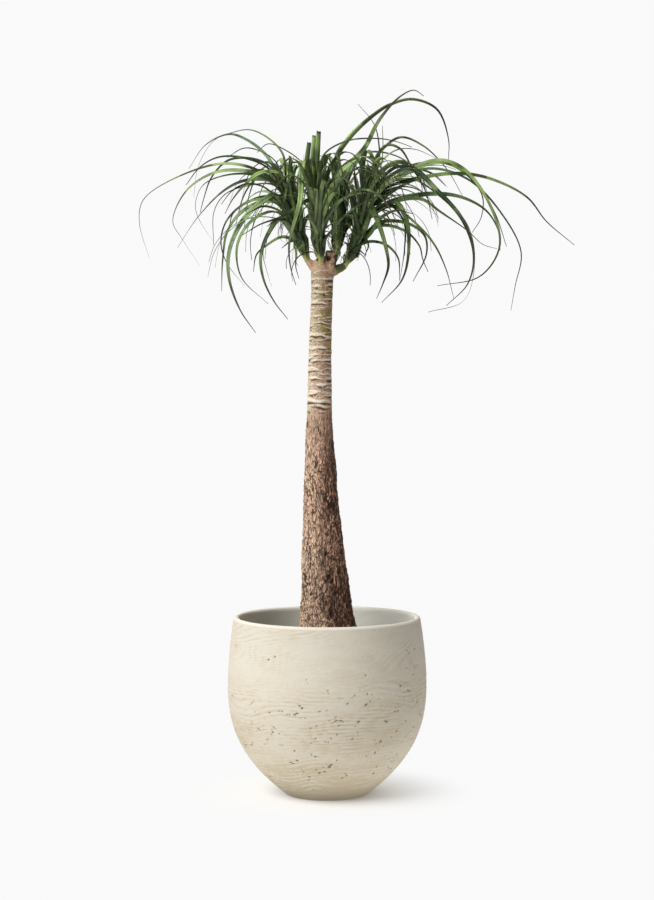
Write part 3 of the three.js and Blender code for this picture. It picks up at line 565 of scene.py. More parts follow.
def scatter_crumbs(material):
    """Loose bits: small round lumps of five rings, each squeezed along its own three axes, turned and
    pushed half into the soil."""
    draw = np.random.default_rng(17)
    radius = np.sqrt(draw.uniform(*CRUMB_PLACES, CRUMBS)) * SOIL_HIGH.x
    u = draw.uniform(0, 1, CRUMBS)
    size = draw.uniform(*CRUMB_SIZES, (CRUMBS, 3)) * (1, 1, CRUMB_FLATNESS)
    polar = np.linspace(CRUMB_POLE, math.pi - CRUMB_POLE, CRUMB_RINGS)[:, None]
    around = np.arange(CRUMB_SIDES) / CRUMB_SIDES
    ball = turned(np.sin(polar), -np.cos(polar) * np.ones(CRUMB_SIDES), around * np.ones_like(polar))
    uneven = draw.uniform(0.8, 1.2, (CRUMBS, CRUMB_RINGS, CRUMB_SIDES, 1))
    lumps = ball[None] * size[:, None, None] * uneven
    spin = draw.uniform(0, math.tau, (CRUMBS, 1, 1))
    x = lumps[..., 0] * np.cos(spin) - lumps[..., 1] * np.sin(spin)
    y = lumps[..., 0] * np.sin(spin) + lumps[..., 1] * np.cos(spin)
    turned_lumps = np.stack([x, y, lumps[..., 2]], -1)
    points = turned_lumps + turned(radius, soil_surface(radius, u), u)[:, None, None]
    kind = draw.uniform(0.1, 1, (CRUMBS, 1, 1)) * np.ones(points.shape[:3])
    add_piece("soil_crumbs", strand_mesh("soil_crumbs", points), material, "soil", kind=kind)


soil_finish = soil_material()
fill_soil(soil_finish)
scatter_crumbs(soil_finish)


# The trunk: a swollen foot that narrows upwards. Its bark is corky and cracked into upright plates up to the
# height of seventy centimetres, and above it the pale scars of fallen leaves ring a smooth stem.
# Each row: a height, how far the trunk's middle lies to the right there, and its radius.
TRUNK_STATIONS = [
    (0.150, 0.003, 0.042),
    (0.225, 0.0035, 0.054),
    (0.272, 0.004, 0.058),
    (0.310, 0.0025, 0.053),
    (0.354, -0.0015, 0.0465),
    (0.391, -0.0035, 0.044),
    (0.429, -0.0055, 0.0415),
    (0.466, -0.007, 0.038),
    (0.503, -0.010, 0.035),
    (0.540, -0.011, 0.0325),
    (0.596, -0.012, 0.0298),
    (0.640, -0.014, 0.027),
    (0.708, -0.014, 0.023),
    (0.782, -0.0135, 0.0215),
    (0.857, -0.012, 0.0203),
    (0.931, -0.009, 0.0196),
    (0.964, -0.009, 0.021),
    (0.977, -0.0065, 0.0218),
    (0.985, -0.0055, 0.0212),
    (0.992, -0.006, 0.017),
    (0.996, -0.006, 0.007),
]
TRUNK_COLUMNS = 216
TRUNK_SMOOTHING = 0.01
BURIED_ROWS = 8
BARK_ROWS = 250
RINGED_ROWS = 150
BARK_FROM = 0.256
BARK_FADES_IN = (0.240, 0.020)
SCARS_FROM = 0.706
SCARS_TO = 0.970
SCAR_THICKNESS = (0.0010, 0.0025)
SCAR_WAVER = 0.0022
SCAR_HALF_SPANS = (0.30, 0.70)
SCAR_BOW = 0.0065
BARK_WAVES = 0.022
WAVE_HEIGHTS = (0.031, 0.047, 0.019)
RINGS_LEAD = 0.020
RINGS_WAVER = 0.012
RINGS_BLEND = 0.040
FISSURE_COLUMNS = 54
FISSURE_ROWS = 34
FISSURE_DEPTHS = (0.0036, 0.0015)
SCAR_COUNT = 50
SCAR_TURN = 0.382
SCAR_RIDGE = 0.0007
STEM_ROUGHNESS = 0.0004
OLIVE_FROM = 0.800
PLATE_DARK = (0.070, 0.028, 0.018, 1)
PLATE_PALE = (1.0, 0.590, 0.412, 1)
PLATE_GRIT = (0.235, 0.125, 0.085, 1)
PLATE_LOW = (0.110, 0.064, 0.040, 1)
PLATE_HIGH = (0.66, 0.440, 0.330, 1)
PLATE_LIT_SIDE = (1.0, 0.725, 0.525, 1)
NET_DARK = (0.046, 0.023, 0.016, 1)
CRACK_AND_HOLLOW_SHADE = (0.050, 0.026, 0.019, 1)
STEM_PINK = (0.66, 0.420, 0.300, 1)
STEM_OLIVE = (0.410, 0.325, 0.080, 1)
STEM_LIT_SIDE = (1.0, 0.84, 0.62, 1)
STEM_LINES = (0.165, 0.098, 0.055, 1)
STEM_SCAR_SHADOW = (0.075, 0.042, 0.025, 1)
SCAR_CREAM = (1.0, 0.90, 0.77, 1)
KNOB_DARK = (0.43, 0.215, 0.130, 1)
KNOB_PALE = (0.96, 0.69, 0.50, 1)
KNOB_GREEN = (0.085, 0.145, 0.042, 1)
KNOB_CREASE_AND_HOLLOW_SHADE = (0.075, 0.036, 0.027, 1)
HOLLOW_DEPTH = 0.004
# Holes in the cork at the front: how far to the right, how high, and half the width.
HOLLOWS = [
    (0.004, 0.404, 0.0042),
    (-0.001, 0.396, 0.0032),
    (0.010, 0.396, 0.0036),
    (0.010, 0.337, 0.0045),
    (-0.002, 0.447, 0.0030),
    (-0.030, 0.372, 0.0030),
]


def trunk_line(z):
    """How far the trunk's middle lies to the right at a height, and its radius: straight between the
    stations, then smoothed over two centimetres."""
    heights, middles, radii = np.array(TRUNK_STATIONS).T
    steps = np.linspace(-TRUNK_SMOOTHING, TRUNK_SMOOTHING, 9)
    near = np.clip(z[..., None] + steps, heights[0], heights[-1])
    return np.interp(near, heights, middles).mean(-1), np.interp(near, heights, radii).mean(-1)


def line_at_zero(field, width):
    """1 where a field passes through zero, falling to 0 at a width to either side."""
    return 1 - ease(np.abs(field) / width)


def fissures(u, z):
    """The relief of the cork, from 0 in the cracks to 1 on the plates, and the cracks alone. Both come from
    noise stretched upright and bent by slower noise: it cracks where the noise passes through zero."""
    t = (z - BARK_FROM) / (SCARS_FROM - BARK_FROM)
    v = t * (0.75 + 0.25 * t)
    bent_u = u + 0.009 * layered_noise(u, t, 9, 16, 2, 71)
    bent_v = v + 0.008 * layered_noise(u, t, 20, 20, 2, 75)
    wide = line_at_zero(lattice_noise(bent_u, bent_v, FISSURE_COLUMNS, FISSURE_ROWS, 81), 0.30)
    fine = line_at_zero(lattice_noise(bent_u, bent_v, FISSURE_COLUMNS * 2, FISSURE_ROWS * 2, 87), 0.40)
    plates = 0.5 + 0.35 * layered_noise(bent_u, bent_v, FISSURE_COLUMNS, FISSURE_ROWS, 2, 83)
    patches = ease(0.5 + 0.9 * layered_noise(u, t, 11, 13, 2, 89))
    cracks = np.maximum(wide * patches, 0.6 * fine)
    return plates * (1 - 0.7 * cracks), cracks


def old_scars(u, z):
    """The scar lines and the painted shadows under them, from 0 to 1. Each line runs most of the way round,
    a parabola with a slow waver, thick in places and thin in others. The next one lies further round and up.
    Across, a line falls off as exp(-d^2), with d the distance from its middle in its own thickness. A shadow
    lies just under its line, where the raised scar would cast it."""
    draw = np.random.default_rng(29)
    lines = np.zeros_like(u)
    scar_shadows = np.zeros_like(u)
    for i in range(SCAR_COUNT):
        height = SCARS_FROM + 0.003 + (SCARS_TO - SCARS_FROM) * (i + draw.uniform(-0.3, 0.3)) / SCAR_COUNT
        half_span = draw.uniform(*SCAR_HALF_SPANS)
        bow = draw.uniform(-SCAR_BOW, SCAR_BOW)
        thickness = draw.uniform(*SCAR_THICKNESS)
        apart = ((u - i * SCAR_TURN + 0.5) % 1 - 0.5) / half_span
        waver = layered_noise(u, np.zeros_like(u), 8, 1, 2, 300 + 3 * i)
        middle = height + bow * apart**2 + SCAR_WAVER * waver
        worn = np.clip(0.75 + 0.9 * lattice_noise(u, np.zeros_like(u), 9, 1, 500 + i), 0.25, 1.5)
        inside = np.clip(1 - apart**2, 0, 1) ** 0.5
        from_middle = (z - middle) / (thickness * worn)
        lines = np.maximum(lines, inside * np.exp(-(from_middle**2)))
        scar_shadows = np.maximum(scar_shadows, inside * worn * np.exp(-(((from_middle + 1.8) / 0.8) ** 2)))
    return lines, scar_shadows


def bark_material():
    """Bark. Below it is pinkish tan, in a dark net of small upright cells and cracks, with painted shade in
    its hollows, and darker towards the foot. Above are cream scar lines on olive and pinkish brown, with
    painted shadow lines under them, and at the top a wrinkled pinkish knob with painted shade in the stub's
    hollow. The left side, where the key light falls, is painted paler as light."""
    material, tree = new_material("bark")
    place = node(tree, "TexCoord").outputs["Object"]
    height = node(tree, "SeparateXYZ", {0: place}).outputs[2]
    upright = stretched(tree, place, (1, 1, 0.28))
    loose = stretched(tree, place, (1, 1, 0.27))
    tone = noise(tree, upright, 55.0, 5, 0.68)
    fibre = noise(tree, upright, 330.0, 3, 0.6)
    grit = noise(tree, upright, 800.0, 2, 0.5)
    lines = noise(tree, stretched(tree, place, (1, 1, 3.5)), 260.0, 4, 0.65)
    warp = node(tree, "TexNoise", {"Vector": loose, "Scale": 120.0, "Detail": 2}).outputs[1]
    spread = node(tree, "VectorMath", {0: warp, 1: (0.017, 0.017, 0.010)}, operation="MULTIPLY").outputs[0]
    bent = node(tree, "VectorMath", {0: loose, 1: spread}, operation="ADD").outputs[0]
    cells = {"Vector": bent, "Scale": 210.0}
    net = node(tree, "TexVoronoi", cells, feature="DISTANCE_TO_EDGE").outputs["Distance"]
    cracks_and_shade, lit_side = reading(tree, "cracks_and_shade"), reading(tree, "lit_side")
    share = plus(tree, times(tree, tone, 0.55), times(tree, fibre, 0.65))
    frayed = plus(tree, cracks_and_shade, times(tree, fibre, -0.35))
    plate = coats(
        tree,
        PLATE_DARK,
        (share, 0.54, 0.69, 1.0, PLATE_PALE),
        (grit, 0.44, 0.58, 0.7, PLATE_GRIT),
        (height, 0.64, 0.30, 0.26, PLATE_LOW),
    )
    plate = coats(
        tree,
        # Painted light: the left side, where the key light falls, is paler.
        mixed(tree, times(tree, lit_side, 0.68), plate, PLATE_LIT_SIDE),
        (net, 0.15, 0.03, 0.88, NET_DARK),
        (height, 0.58, 0.70, 0.45, PLATE_HIGH),
        # Dark cracks, and painted shade in the cork's hollows.
        (frayed, 0.10, 0.60, 0.95, CRACK_AND_HOLLOW_SHADE),
    )
    olive = eased(tree, reading(tree, "olive"), 0.05, 0.75, 0.0, 0.85)
    scar = plus(tree, reading(tree, "scar"), times(tree, minus(tree, lines, 0.5), 2.2))
    smooth = mixed(tree, olive, STEM_PINK, STEM_OLIVE)
    smooth = coats(
        tree,
        # Painted light: the left side of the stem, where the key light falls, is paler.
        mixed(tree, times(tree, lit_side, 0.72), smooth, STEM_LIT_SIDE),
        (lines, 0.46, 0.60, 0.85, STEM_LINES),
        # Painted shadow under each scar line.
        (cracks_and_shade, 0.25, 0.9, 0.85, STEM_SCAR_SHADOW),
        (scar, 0.30, 0.85, 1.0, SCAR_CREAM),
    )
    knob = mixed(tree, eased(tree, lines, 0.34, 0.60), KNOB_DARK, KNOB_PALE)
    # Dark lines along the wrinkles, and painted shade in the stub's hollow.
    knob = coats(tree, mixed(tree, olive, knob, KNOB_GREEN), (cracks_and_shade, 0.45, 1.0, 1.0, KNOB_CREASE_AND_HOLLOW_SHADE))
    colour = mixed(tree, reading(tree, "ringed"), plate, smooth)
    colour = mixed(tree, reading(tree, "knob"), colour, knob)
    relief = plus(tree, fibre, times(tree, grit, 0.3))
    finish(tree, colour, roughness=0.86, gloss=0.25, relief=relief, strength=1.0, depth=0.0030)
    return material


def grow_trunk(material):
    """The trunk: rings about its leaning middle line. The radius is the smoothed one, with slow waves, less
    the fissures below and with the scar ridges above."""
    buried = np.linspace(TRUNK_STATIONS[0][0], BARK_FROM, BURIED_ROWS)[:-1]
    corky = np.linspace(BARK_FROM, SCARS_FROM, BARK_ROWS)[:-1]
    z = np.concatenate([buried, corky, np.linspace(SCARS_FROM, SCARS_TO, RINGED_ROWS)])[:, None]
    middle, radius = trunk_line(z)
    u = np.arange(TRUNK_COLUMNS) / TRUNK_COLUMNS * np.ones_like(z)
    z = z * np.ones_like(u)
    turn = math.tau * u
    lead = RINGS_LEAD + RINGS_WAVER * lattice_noise(u, z, 9, 2, 91)
    ringed = ease((z - SCARS_FROM + lead) / RINGS_BLEND)
    bark_from, bark_blend = BARK_FADES_IN
    bark = (1 - ringed) * ease((z - bark_from) / bark_blend)
    plates, cracks = fissures(u, z)
    low, high = FISSURE_DEPTHS
    share = np.clip((z - BARK_FROM) / (SCARS_FROM - BARK_FROM), 0, 1)
    depth = low + (high - low) * share**0.6
    roughness = layered_noise(u, share, 80, 110, 2, 95)
    pits = np.zeros_like(u)
    for x, at, size in HOLLOWS:
        place = turn + math.pi / 2 - np.arcsin(np.clip((x - middle) / radius, -1, 1))
        across = ((place + math.pi) % math.tau - math.pi) * radius
        pits = np.maximum(pits, np.exp(-((across / size) ** 2 + ((z - at) / (size * 1.2)) ** 2)))
    first, second, third = (z / wave_height for wave_height in WAVE_HEIGHTS)
    waves = np.sin(3 * turn + first) * np.cos(2 * turn - second) + 0.6 * np.sin(5 * turn + third)
    lines, scar_shadows = old_scars(u, z)
    scars = lines * ringed
    out = radius * (1 + BARK_WAVES * waves * (1 - 0.7 * ringed))
    out = out + bark * (depth * (0.42 * roughness + 1.3 * (plates - 0.6)) - HOLLOW_DEPTH * pits)
    out = out + ringed * (SCAR_RIDGE * scars + STEM_ROUGHNESS * layered_noise(u, z, 26, 160, 2, 99))
    values = {
        # Cracks, painted shade in the cork's hollows and painted shadow under the scar lines.
        "cracks_and_shade": bark * np.maximum(cracks, 1.6 * pits) + ringed * scar_shadows,
        "scar": scars,
        "ringed": ringed,
        "olive": (layered_noise(u, (z - 0.6) / 0.4, 4, 26, 3, 101) + 0.40) * ease((z - OLIVE_FROM) / 0.02),
        # Painted light: 1 on the left side, where the key light falls, and 0 on the right.
        "lit_side": ease(0.10 - 0.75 * np.cos(turn) - 0.25 * np.sin(turn)),
        "knob": np.zeros_like(u),
    }
    mesh = strand_mesh("trunk_bark", turned(out, z, u, middle)[None])
    add_piece("trunk_bark", mesh, material, "bark", ["trunk"], **values)


bark_finish = bark_material()
grow_trunk(bark_finish)


# The knob at the trunk's top, from which the heads grow, with a dead stub that was cut off and is hollow.
# All grew together, so collars and stub run smoothly into the knob.
KNOB_STATIONS = [(0.942, -0.009, 0.012), (0.950, -0.009, 0.0185), *TRUNK_STATIONS[-5:]]
COLLAR_ROOT = (-0.007, 0.0, 0.962)
COLLAR_RADII = (0.0140, 0.0098, 0.0058)
GREEN_COLLARS = ["head_right", "head_back"]
GREEN_REACH = 0.010
STUB_FROM = (0.002, -0.008, 0.966)
STUB_TO = (0.007, -0.019, 1.005)
STUB_RADII = (0.0105, 0.0096, 0.0094, 0.0072, 0.0060, 0.0030)
STUB_STEPS = (0.0, 0.6, 1.0, 1.002, 0.95, 0.72)
STUB_END_REACH = 0.0115
KNOB_VOXEL = 0.00105
KNOB_SMOOTHING = 0.5
KNOB_ROUNDS = 7
KNOB_COLOUR_FROM = 0.960
KNOB_COLOUR_OVER = 0.012
WRINKLE_PITCH = 0.0045
WRINKLE_DEPTH = 0.00035
DENT_PITCH = 0.012
DENT_DEPTH = 0.0005
WAVE_COUNT = 24
# Each head: its stem's path, the way that its crown faces in degrees, and how many fillers are tried.
HEADS = {
    "head_left": {
        "path": [(-.036, -.002, .988), (-.047, -.005, 1.027), (-.057, -.008, 1.062), (-.071, -.01, 1.116)],
        "azimuth": 180,
        "fillers": 24,
    },
    "head_centre": {
        "path": [(-.011, -.025, .984), (-.017, -.034, 1.027), (-.019, -.04, 1.066), (-.019, -.043, 1.106)],
        "azimuth": 270,
        "fillers": 26,
    },
    "head_right": {
        "path": [(.033, -.004, .979), (.047, -.007, 1.012), (.059, -.008, 1.052), (.072, -.009, 1.11)],
        "azimuth": 0,
        "fillers": 26,
    },
    "head_back": {
        "path": [(.017, .023, 1), (.02, .034, 1.038), (.021, .042, 1.074), (.02, .047, 1.112)],
        "azimuth": 90,
        "fillers": 26,
    },
}


def bar(points, radii, sides, along=None):
    """Rings about a line of points, each with its own radius, square to the line or all to one way."""
    points = np.array(points, float)
    tangent = np.gradient(points, axis=0) if along is None else np.tile(along, (len(points), 1))
    tangent = tangent / np.linalg.norm(tangent, axis=1)[:, None]
    right = np.array([1.0, 0, 0]) - tangent * tangent[:, :1]
    right /= np.linalg.norm(right, axis=1)[:, None]
    back = np.cross(tangent, right)
    turn = np.arange(sides) / sides * math.tau
    spokes = right[:, None] * np.cos(turn)[None, :, None] + back[:, None] * np.sin(turn)[None, :, None]
    return points[:, None] + spokes * np.asarray(radii)[:, None, None]


def wave_noise(points, pitch, count, seed):
    """Noise in space: plane waves of one length that run in random directions, added up."""
    draw = np.random.default_rng(seed)
    ways = draw.normal(size=(count, 3))
    ways *= math.tau / pitch / np.linalg.norm(ways, axis=1)[:, None]
    return np.sin(points @ ways.T + draw.uniform(0, math.tau, count)).sum(1) / math.sqrt(count)


def grow_knob(material):
    """The knob: a dome, a collar for each head and the stub, joined by remeshing and smoothed. Then waves
    that are short up the knob and long round it wrinkle the skin along its normals."""
    dome = bar([(x, 0, z) for z, x, _ in KNOB_STATIONS], [radius for _, _, radius in KNOB_STATIONS], 40)
    root = np.array(COLLAR_ROOT)
    bases = [np.array(head["path"][0]) for head in HEADS.values()]
    collars = [bar([root, (root + base) / 2, base], COLLAR_RADII, 32) for base in bases]
    start, rise = np.array(STUB_FROM), np.subtract(STUB_TO, STUB_FROM)
    stub = bar([start + rise * step for step in STUB_STEPS], STUB_RADII, 32, rise)
    forms = bmesh.new()
    for form in [dome, *collars, stub]:
        forms.from_mesh(strand_mesh("form", form[None]))
    joined = bpy.data.meshes.new("knob")
    forms.to_mesh(joined)
    forms.free()
    rough = bpy.data.objects.new("knob_forms", joined)
    bpy.context.scene.collection.objects.link(rough)
    rough.modifiers.new("grown", "REMESH").voxel_size = KNOB_VOXEL
    softer = rough.modifiers.new("softer", "SMOOTH")
    softer.factor, softer.iterations = KNOB_SMOOTHING, KNOB_ROUNDS
    mesh = bpy.data.meshes.new_from_object(rough.evaluated_get(bpy.context.evaluated_depsgraph_get()))
    bpy.data.objects.remove(rough)
    points = np.empty(len(mesh.vertices) * 3)
    normals = np.empty(len(mesh.vertices) * 3)
    mesh.vertices.foreach_get("co", points)
    mesh.vertex_normals.foreach_get("vector", normals)
    points, normals = points.reshape(-1, 3), normals.reshape(-1, 3)
    wrinkles = wave_noise(points * (0.45, 0.45, 1.5), WRINKLE_PITCH, WAVE_COUNT, 111)
    dents = wave_noise(points, DENT_PITCH, WAVE_COUNT, 113)
    moved = points + normals * (WRINKLE_DEPTH * wrinkles + DENT_DEPTH * dents)[:, None]
    mesh.vertices.foreach_set("co", moved.astype(np.float32).ravel())
    mesh.shade_smooth()
    end = np.array(STUB_TO)
    stub_near = ease(1.6 - np.linalg.norm(points - (end - rise * 0.25), axis=1) / STUB_END_REACH)
    green = np.zeros(len(points))
    for base in [np.array(HEADS[name]["path"][0]) for name in GREEN_COLLARS]:
        way = base - root
        along = (points - root) @ way / (way @ way)
        off = np.linalg.norm(points - root - along[:, None] * way, axis=1)
        green = np.maximum(green, ease((along - 0.45) / 0.3) * ease(1.8 - off / GREEN_REACH))
    values = {
        # Dark lines along the wrinkles, and painted shade in the stub's hollow.
        "cracks_and_shade": np.maximum(0.75 * line_at_zero(wrinkles, 0.5), stub_near * (0.85 + 0.3 * dents)),
        "scar": np.zeros(len(points)),
        "ringed": np.ones(len(points)),
        "olive": green,
        "lit_side": np.zeros(len(points)),
        "knob": ease((points[:, 2] - KNOB_COLOUR_FROM) / KNOB_COLOUR_OVER),
    }
    add_piece("trunk_knob", mesh, material, "bark", ["trunk"], **values)


grow_knob(bark_finish)


# The lines of the leaves. Each leaf rises from its stem, arches over and hangs, along the solid blade that
# it replaces. A few rise straight and end in a cut. The main ones are set out one by one, and a seeded rule
# fills the crown between them and keeps them all off the trunk, the stems and the other heads' leaves.
STEM_RADII = (0.008, 0.0096, 0.0104, 0.0094, 0.0076, 0.004)
ROOT_SINK = 0.006
HUG_SHARE = 0.12
HUG_OFF = 0.0025
ROOT_BELOW = 0.040
ROOT_RANGE = 0.140
ROOT_SHARES = (0.16, 0.86)
SPEAR_HEIGHT = 1.2
# Each row: how far a leaf's tip lies behind its root, its width, and the places that it passes as the eye
# sees them in the plane of the trunk.
PLACED = {
    "head_left": [
        (-.03, .012, (-.122, 1.153), (-.195, 1.169), (-.3, 1.134), (-.343, 1.1), (-.349, 1.06),
         (-.331, .994)),
        (.06, .006, (-.084, 1.19), (-.138, 1.231), (-.18, 1.226), (-.212, 1.211), (-.239, 1.165),
         (-.248, 1.106)),
        (.09, .009, (-.112, 1.183), (-.15, 1.214), (-.182, 1.224), (-.226, 1.204), (-.257, 1.16)),
        (-.06, .006, (-.095, 1.172), (-.128, 1.194), (-.155, 1.198), (-.185, 1.181)),
        (-.08, .008, (-.112, 1.162), (-.16, 1.181), (-.203, 1.181), (-.236, 1.163), (-.262, 1.13)),
        (.05, .011, (-.105, 1.142), (-.17, 1.157), (-.215, 1.15), (-.262, 1.118), (-.287, 1.062),
         (-.27, 1.03), (-.236, .978)),
        (-.09, .008, (-.112, 1.14), (-.17, 1.15), (-.23, 1.13), (-.245, 1.092), (-.238, 1.066),
         (-.213, 1.026)),
        (.02, .011, (-.098, 1.134), (-.15, 1.138), (-.19, 1.12), (-.24, 1.07), (-.278, 1.013)),
        (-.12, .014, (-.088, 1.15), (-.124, 1.152), (-.152, 1.131), (-.176, 1.102), (-.19, 1.076)),
        (.09, .009, (-.1, 1.13), (-.15, 1.128), (-.19, 1.112), (-.21, 1.08), (-.211, 1.018)),
        (-.13, .014, (-.092, 1.112), (-.13, 1.091), (-.16, 1.058), (-.182, 1.005), (-.182, .955),
         (-.162, .898), (-.133, .855)),
        (-.07, .012, (-.095, 1.08), (-.135, 1.066), (-.16, 1.036), (-.168, 1.003), (-.158, .956),
         (-.109, .908)),
        (.04, .012, (-.105, 1.106), (-.155, 1.093), (-.187, 1.062), (-.197, 1.022), (-.186, .984),
         (-.15, .938)),
        (-.02, .011, (-.1, 1.098), (-.15, 1.086), (-.184, 1.046), (-.194, .99), (-.196, .932)),
        (-.1, .012, (-.088, 1.066), (-.11, 1.037), (-.123, .996), (-.118, .955), (-.099, .914),
         (-.073, .88)),
        (.03, .009, (-.085, 1.064), (-.106, 1.04), (-.119, 1.005), (-.112, .97), (-.103, .94)),
        (.02, .008, (-.082, 1.033), (-.11, 1.019), (-.131, 1), (-.137, .968)),
        (-.02, .007, (-.07, 1.023), (-.084, 1.012)),
        (-.01, .007, (-.057, 1), (-.058, .978), (-.052, .955)),
        (-.13, .007, (-.058, 1.168), (-.07, 1.142), (-.08, 1.095), (-.086, 1.058), (-.084, 1.03)),
        (.07, .008, (-.115, 1.17), (-.18, 1.177), (-.214, 1.145), (-.229, 1.105), (-.236, 1.078)),
        (-.04, .012, (-.1, 1.1), (-.148, 1.098), (-.175, 1.076), (-.182, 1.05)),
        (-.06, .014, (-.058, 1.07), (-.066, 1.11), (-.07, 1.15), (-.062, 1.182)),
        (-.04, .014, (-.05, 1.06), (-.052, 1.095), (-.066, 1.125), (-.098, 1.147)),
        (-.09, .015, (-.066, 1.052), (-.084, 1.078), (-.118, 1.09), (-.15, 1.075)),
        (-.07, .013, (-.06, 1.04), (-.072, 1.062), (-.092, 1.066), (-.112, 1.052)),
    ],
    "head_centre": [
        (-.008, .018, (-.02, 1.16), (-.015, 1.232)),
        (-.014, .017, (-.038, 1.15), (-.033, 1.211)),
        (.004, .015, (-.027, 1.16), (-.024, 1.224)),
        (-.07, .016, (.018, 1.147), (.068, 1.195), (.097, 1.25), (.136, 1.294), (.162, 1.306),
         (.18, 1.295)),
        (-.11, .01, (-.003, 1.118), (-.023, 1.108), (-.042, 1.098), (-.084, 1.071), (-.125, 1.056),
         (-.158, 1.036)),
        (-.13, .015, (-.009, 1.062), (.013, 1.092), (.031, 1.106), (.058, 1.114), (.088, 1.115),
         (.122, 1.098), (.152, 1.066)),
        (-.16, .008, (.022, 1.067), (.064, 1.078), (.085, 1.094), (.098, 1.116)),
        (-.02, .006, (-.008, 1.182), (.036, 1.211), (.095, 1.216), (.13, 1.21), (.158, 1.2)),
        (-.13, .015, (-.034, 1.15), (-.044, 1.176), (-.05, 1.1), (-.07, 1.022), (-.068, .978),
         (-.058, .944)),
        (-.04, .017, (-.026, 1.075), (-.034, 1.11), (-.042, 1.15), (-.044, 1.186)),
        (-.06, .015, (-.024, 1.06), (-.036, 1.088), (-.06, 1.104), (-.092, 1.11)),
        (-.09, .014, (-.022, 1.048), (-.038, 1.068), (-.058, 1.062), (-.07, 1.04)),
        (-.05, .016, (-.008, 1.07), (.002, 1.105), (.01, 1.14), (.006, 1.172)),
        (-.07, .015, (-.004, 1.06), (.01, 1.082), (.022, 1.12), (.03, 1.155)),
        (-.03, .015, (-.03, 1.1), (-.052, 1.13), (-.08, 1.146), (-.112, 1.15)),
    ],
    "head_right": [
        (.02, .01, (.112, 1.124), (.19, 1.146), (.245, 1.151), (.302, 1.142), (.372, 1.107),
         (.408, 1.062), (.46, 1.018)),
        (-.04, .005, (.096, 1.168), (.097, 1.202), (.088, 1.242), (.058, 1.28)),
        (.03, .005, (.1, 1.16), (.104, 1.2), (.103, 1.24)),
        (.06, .007, (.092, 1.18), (.135, 1.218), (.178, 1.203), (.222, 1.16), (.252, 1.11)),
        (-.04, .008, (.092, 1.182), (.112, 1.204), (.136, 1.197), (.158, 1.162), (.175, 1.132),
         (.178, 1.106)),
        (.09, .007, (.098, 1.168), (.128, 1.194), (.163, 1.196), (.206, 1.178)),
        (-.11, .015, (.066, 1.16), (.074, 1.195), (.09, 1.168), (.098, 1.128), (.092, 1.09)),
        (.04, .013, (.098, 1.136), (.128, 1.162), (.16, 1.163), (.212, 1.166), (.24, 1.158)),
        (-.06, .01, (.118, 1.138), (.16, 1.162), (.21, 1.176), (.256, 1.158), (.305, 1.088),
         (.321, 1.015), (.285, .96), (.205, .942)),
        (.1, .012, (.11, 1.11), (.148, 1.132), (.172, 1.137), (.18, 1.1)),
        (.07, .013, (.12, 1.098), (.19, 1.113), (.25, 1.107), (.298, 1.08), (.32, 1.04), (.322, 1.008)),
        (-.02, .012, (.126, 1.098), (.175, 1.103), (.21, 1.08), (.262, 1.044), (.29, 1.019),
         (.316, 1.011)),
        (-.11, .013, (.108, 1.142), (.156, 1.16), (.205, 1.119), (.252, 1.065), (.273, 1), (.262, .946),
         (.222, .905)),
        (.12, .009, (.104, 1.128), (.16, 1.14), (.22, 1.1), (.262, 1.055), (.275, .99), (.255, .915),
         (.188, .893)),
        (.13, .008, (.11, 1.14), (.17, 1.169), (.24, 1.165), (.288, 1.112), (.287, 1.07), (.27, 1.041)),
        (-.01, .008, (.112, 1.132), (.19, 1.16), (.262, 1.14), (.322, 1.08), (.361, 1.005), (.35, .942),
         (.342, .896)),
        (.01, .01, (.1, 1.06), (.15, 1.058), (.181, 1.036), (.185, 1.002), (.16, .95)),
        (-.05, .009, (.098, 1.054), (.145, 1.044), (.172, 1.016), (.178, .992), (.188, .968)),
        (-.15, .015, (.074, 1.098), (.092, 1.066), (.11, 1.01), (.114, .978), (.104, .946), (.092, .918)),
        (-.08, .012, (.122, 1.1), (.146, 1.07), (.152, 1.01), (.14, .954), (.102, .911)),
        (.04, .009, (.118, 1.09), (.143, 1.06), (.144, 1.01), (.135, .95)),
        (-.03, .009, (.08, 1.024), (.11, 1.018), (.132, .994), (.135, .953)),
        (-.06, .008, (.068, 1.034), (.077, 1.018), (.069, .996)),
        (.02, .007, (.057, 1.012), (.073, .998)),
        (-.06, .009, (.118, 1.092), (.15, 1.071), (.196, 1.024), (.221, .974), (.236, .918)),
        (-.14, .006, (.076, 1.168), (.067, 1.125), (.066, 1.07)),
        (.02, .008, (.13, 1.144), (.215, 1.171), (.272, 1.138), (.312, 1.078), (.334, 1.015)),
        (-.09, .017, (.074, 1.055), (.084, 1.095), (.084, 1.14), (.074, 1.176)),
        (-.07, .016, (.06, 1.042), (.05, 1.08), (.04, 1.12), (.026, 1.152)),
        (-.05, .014, (.054, 1.03), (.04, 1.056), (.028, 1.078), (.01, 1.092)),
        (-.06, .015, (.064, 1.06), (.06, 1.1), (.052, 1.14), (.05, 1.172)),
        (-.06, .016, (.082, 1.04), (.098, 1.066), (.128, 1.082), (.16, 1.076)),
        (-.03, .014, (.08, 1.07), (.104, 1.1), (.14, 1.112), (.176, 1.1)),
    ],
    "head_back": [
        (.06, .015, (.018, 1.178), (.042, 1.217), (.084, 1.257), (.118, 1.279), (.16, 1.289),
         (.205, 1.27), (.226, 1.215), (.226, 1.176)),
        (.06, .008, (-.04, 1.165), (-.07, 1.19), (-.11, 1.206), (-.13, 1.19)),
        (.09, .009, (.04, 1.15), (.062, 1.186), (.105, 1.19), (.15, 1.172), (.176, 1.14)),
        (.02, .014, (.02, 1.14), (.005, 1.166), (-.012, 1.184), (-.04, 1.18)),
        (.04, .015, (.036, 1.11), (.048, 1.14), (.07, 1.16), (.1, 1.15)),
    ],
}

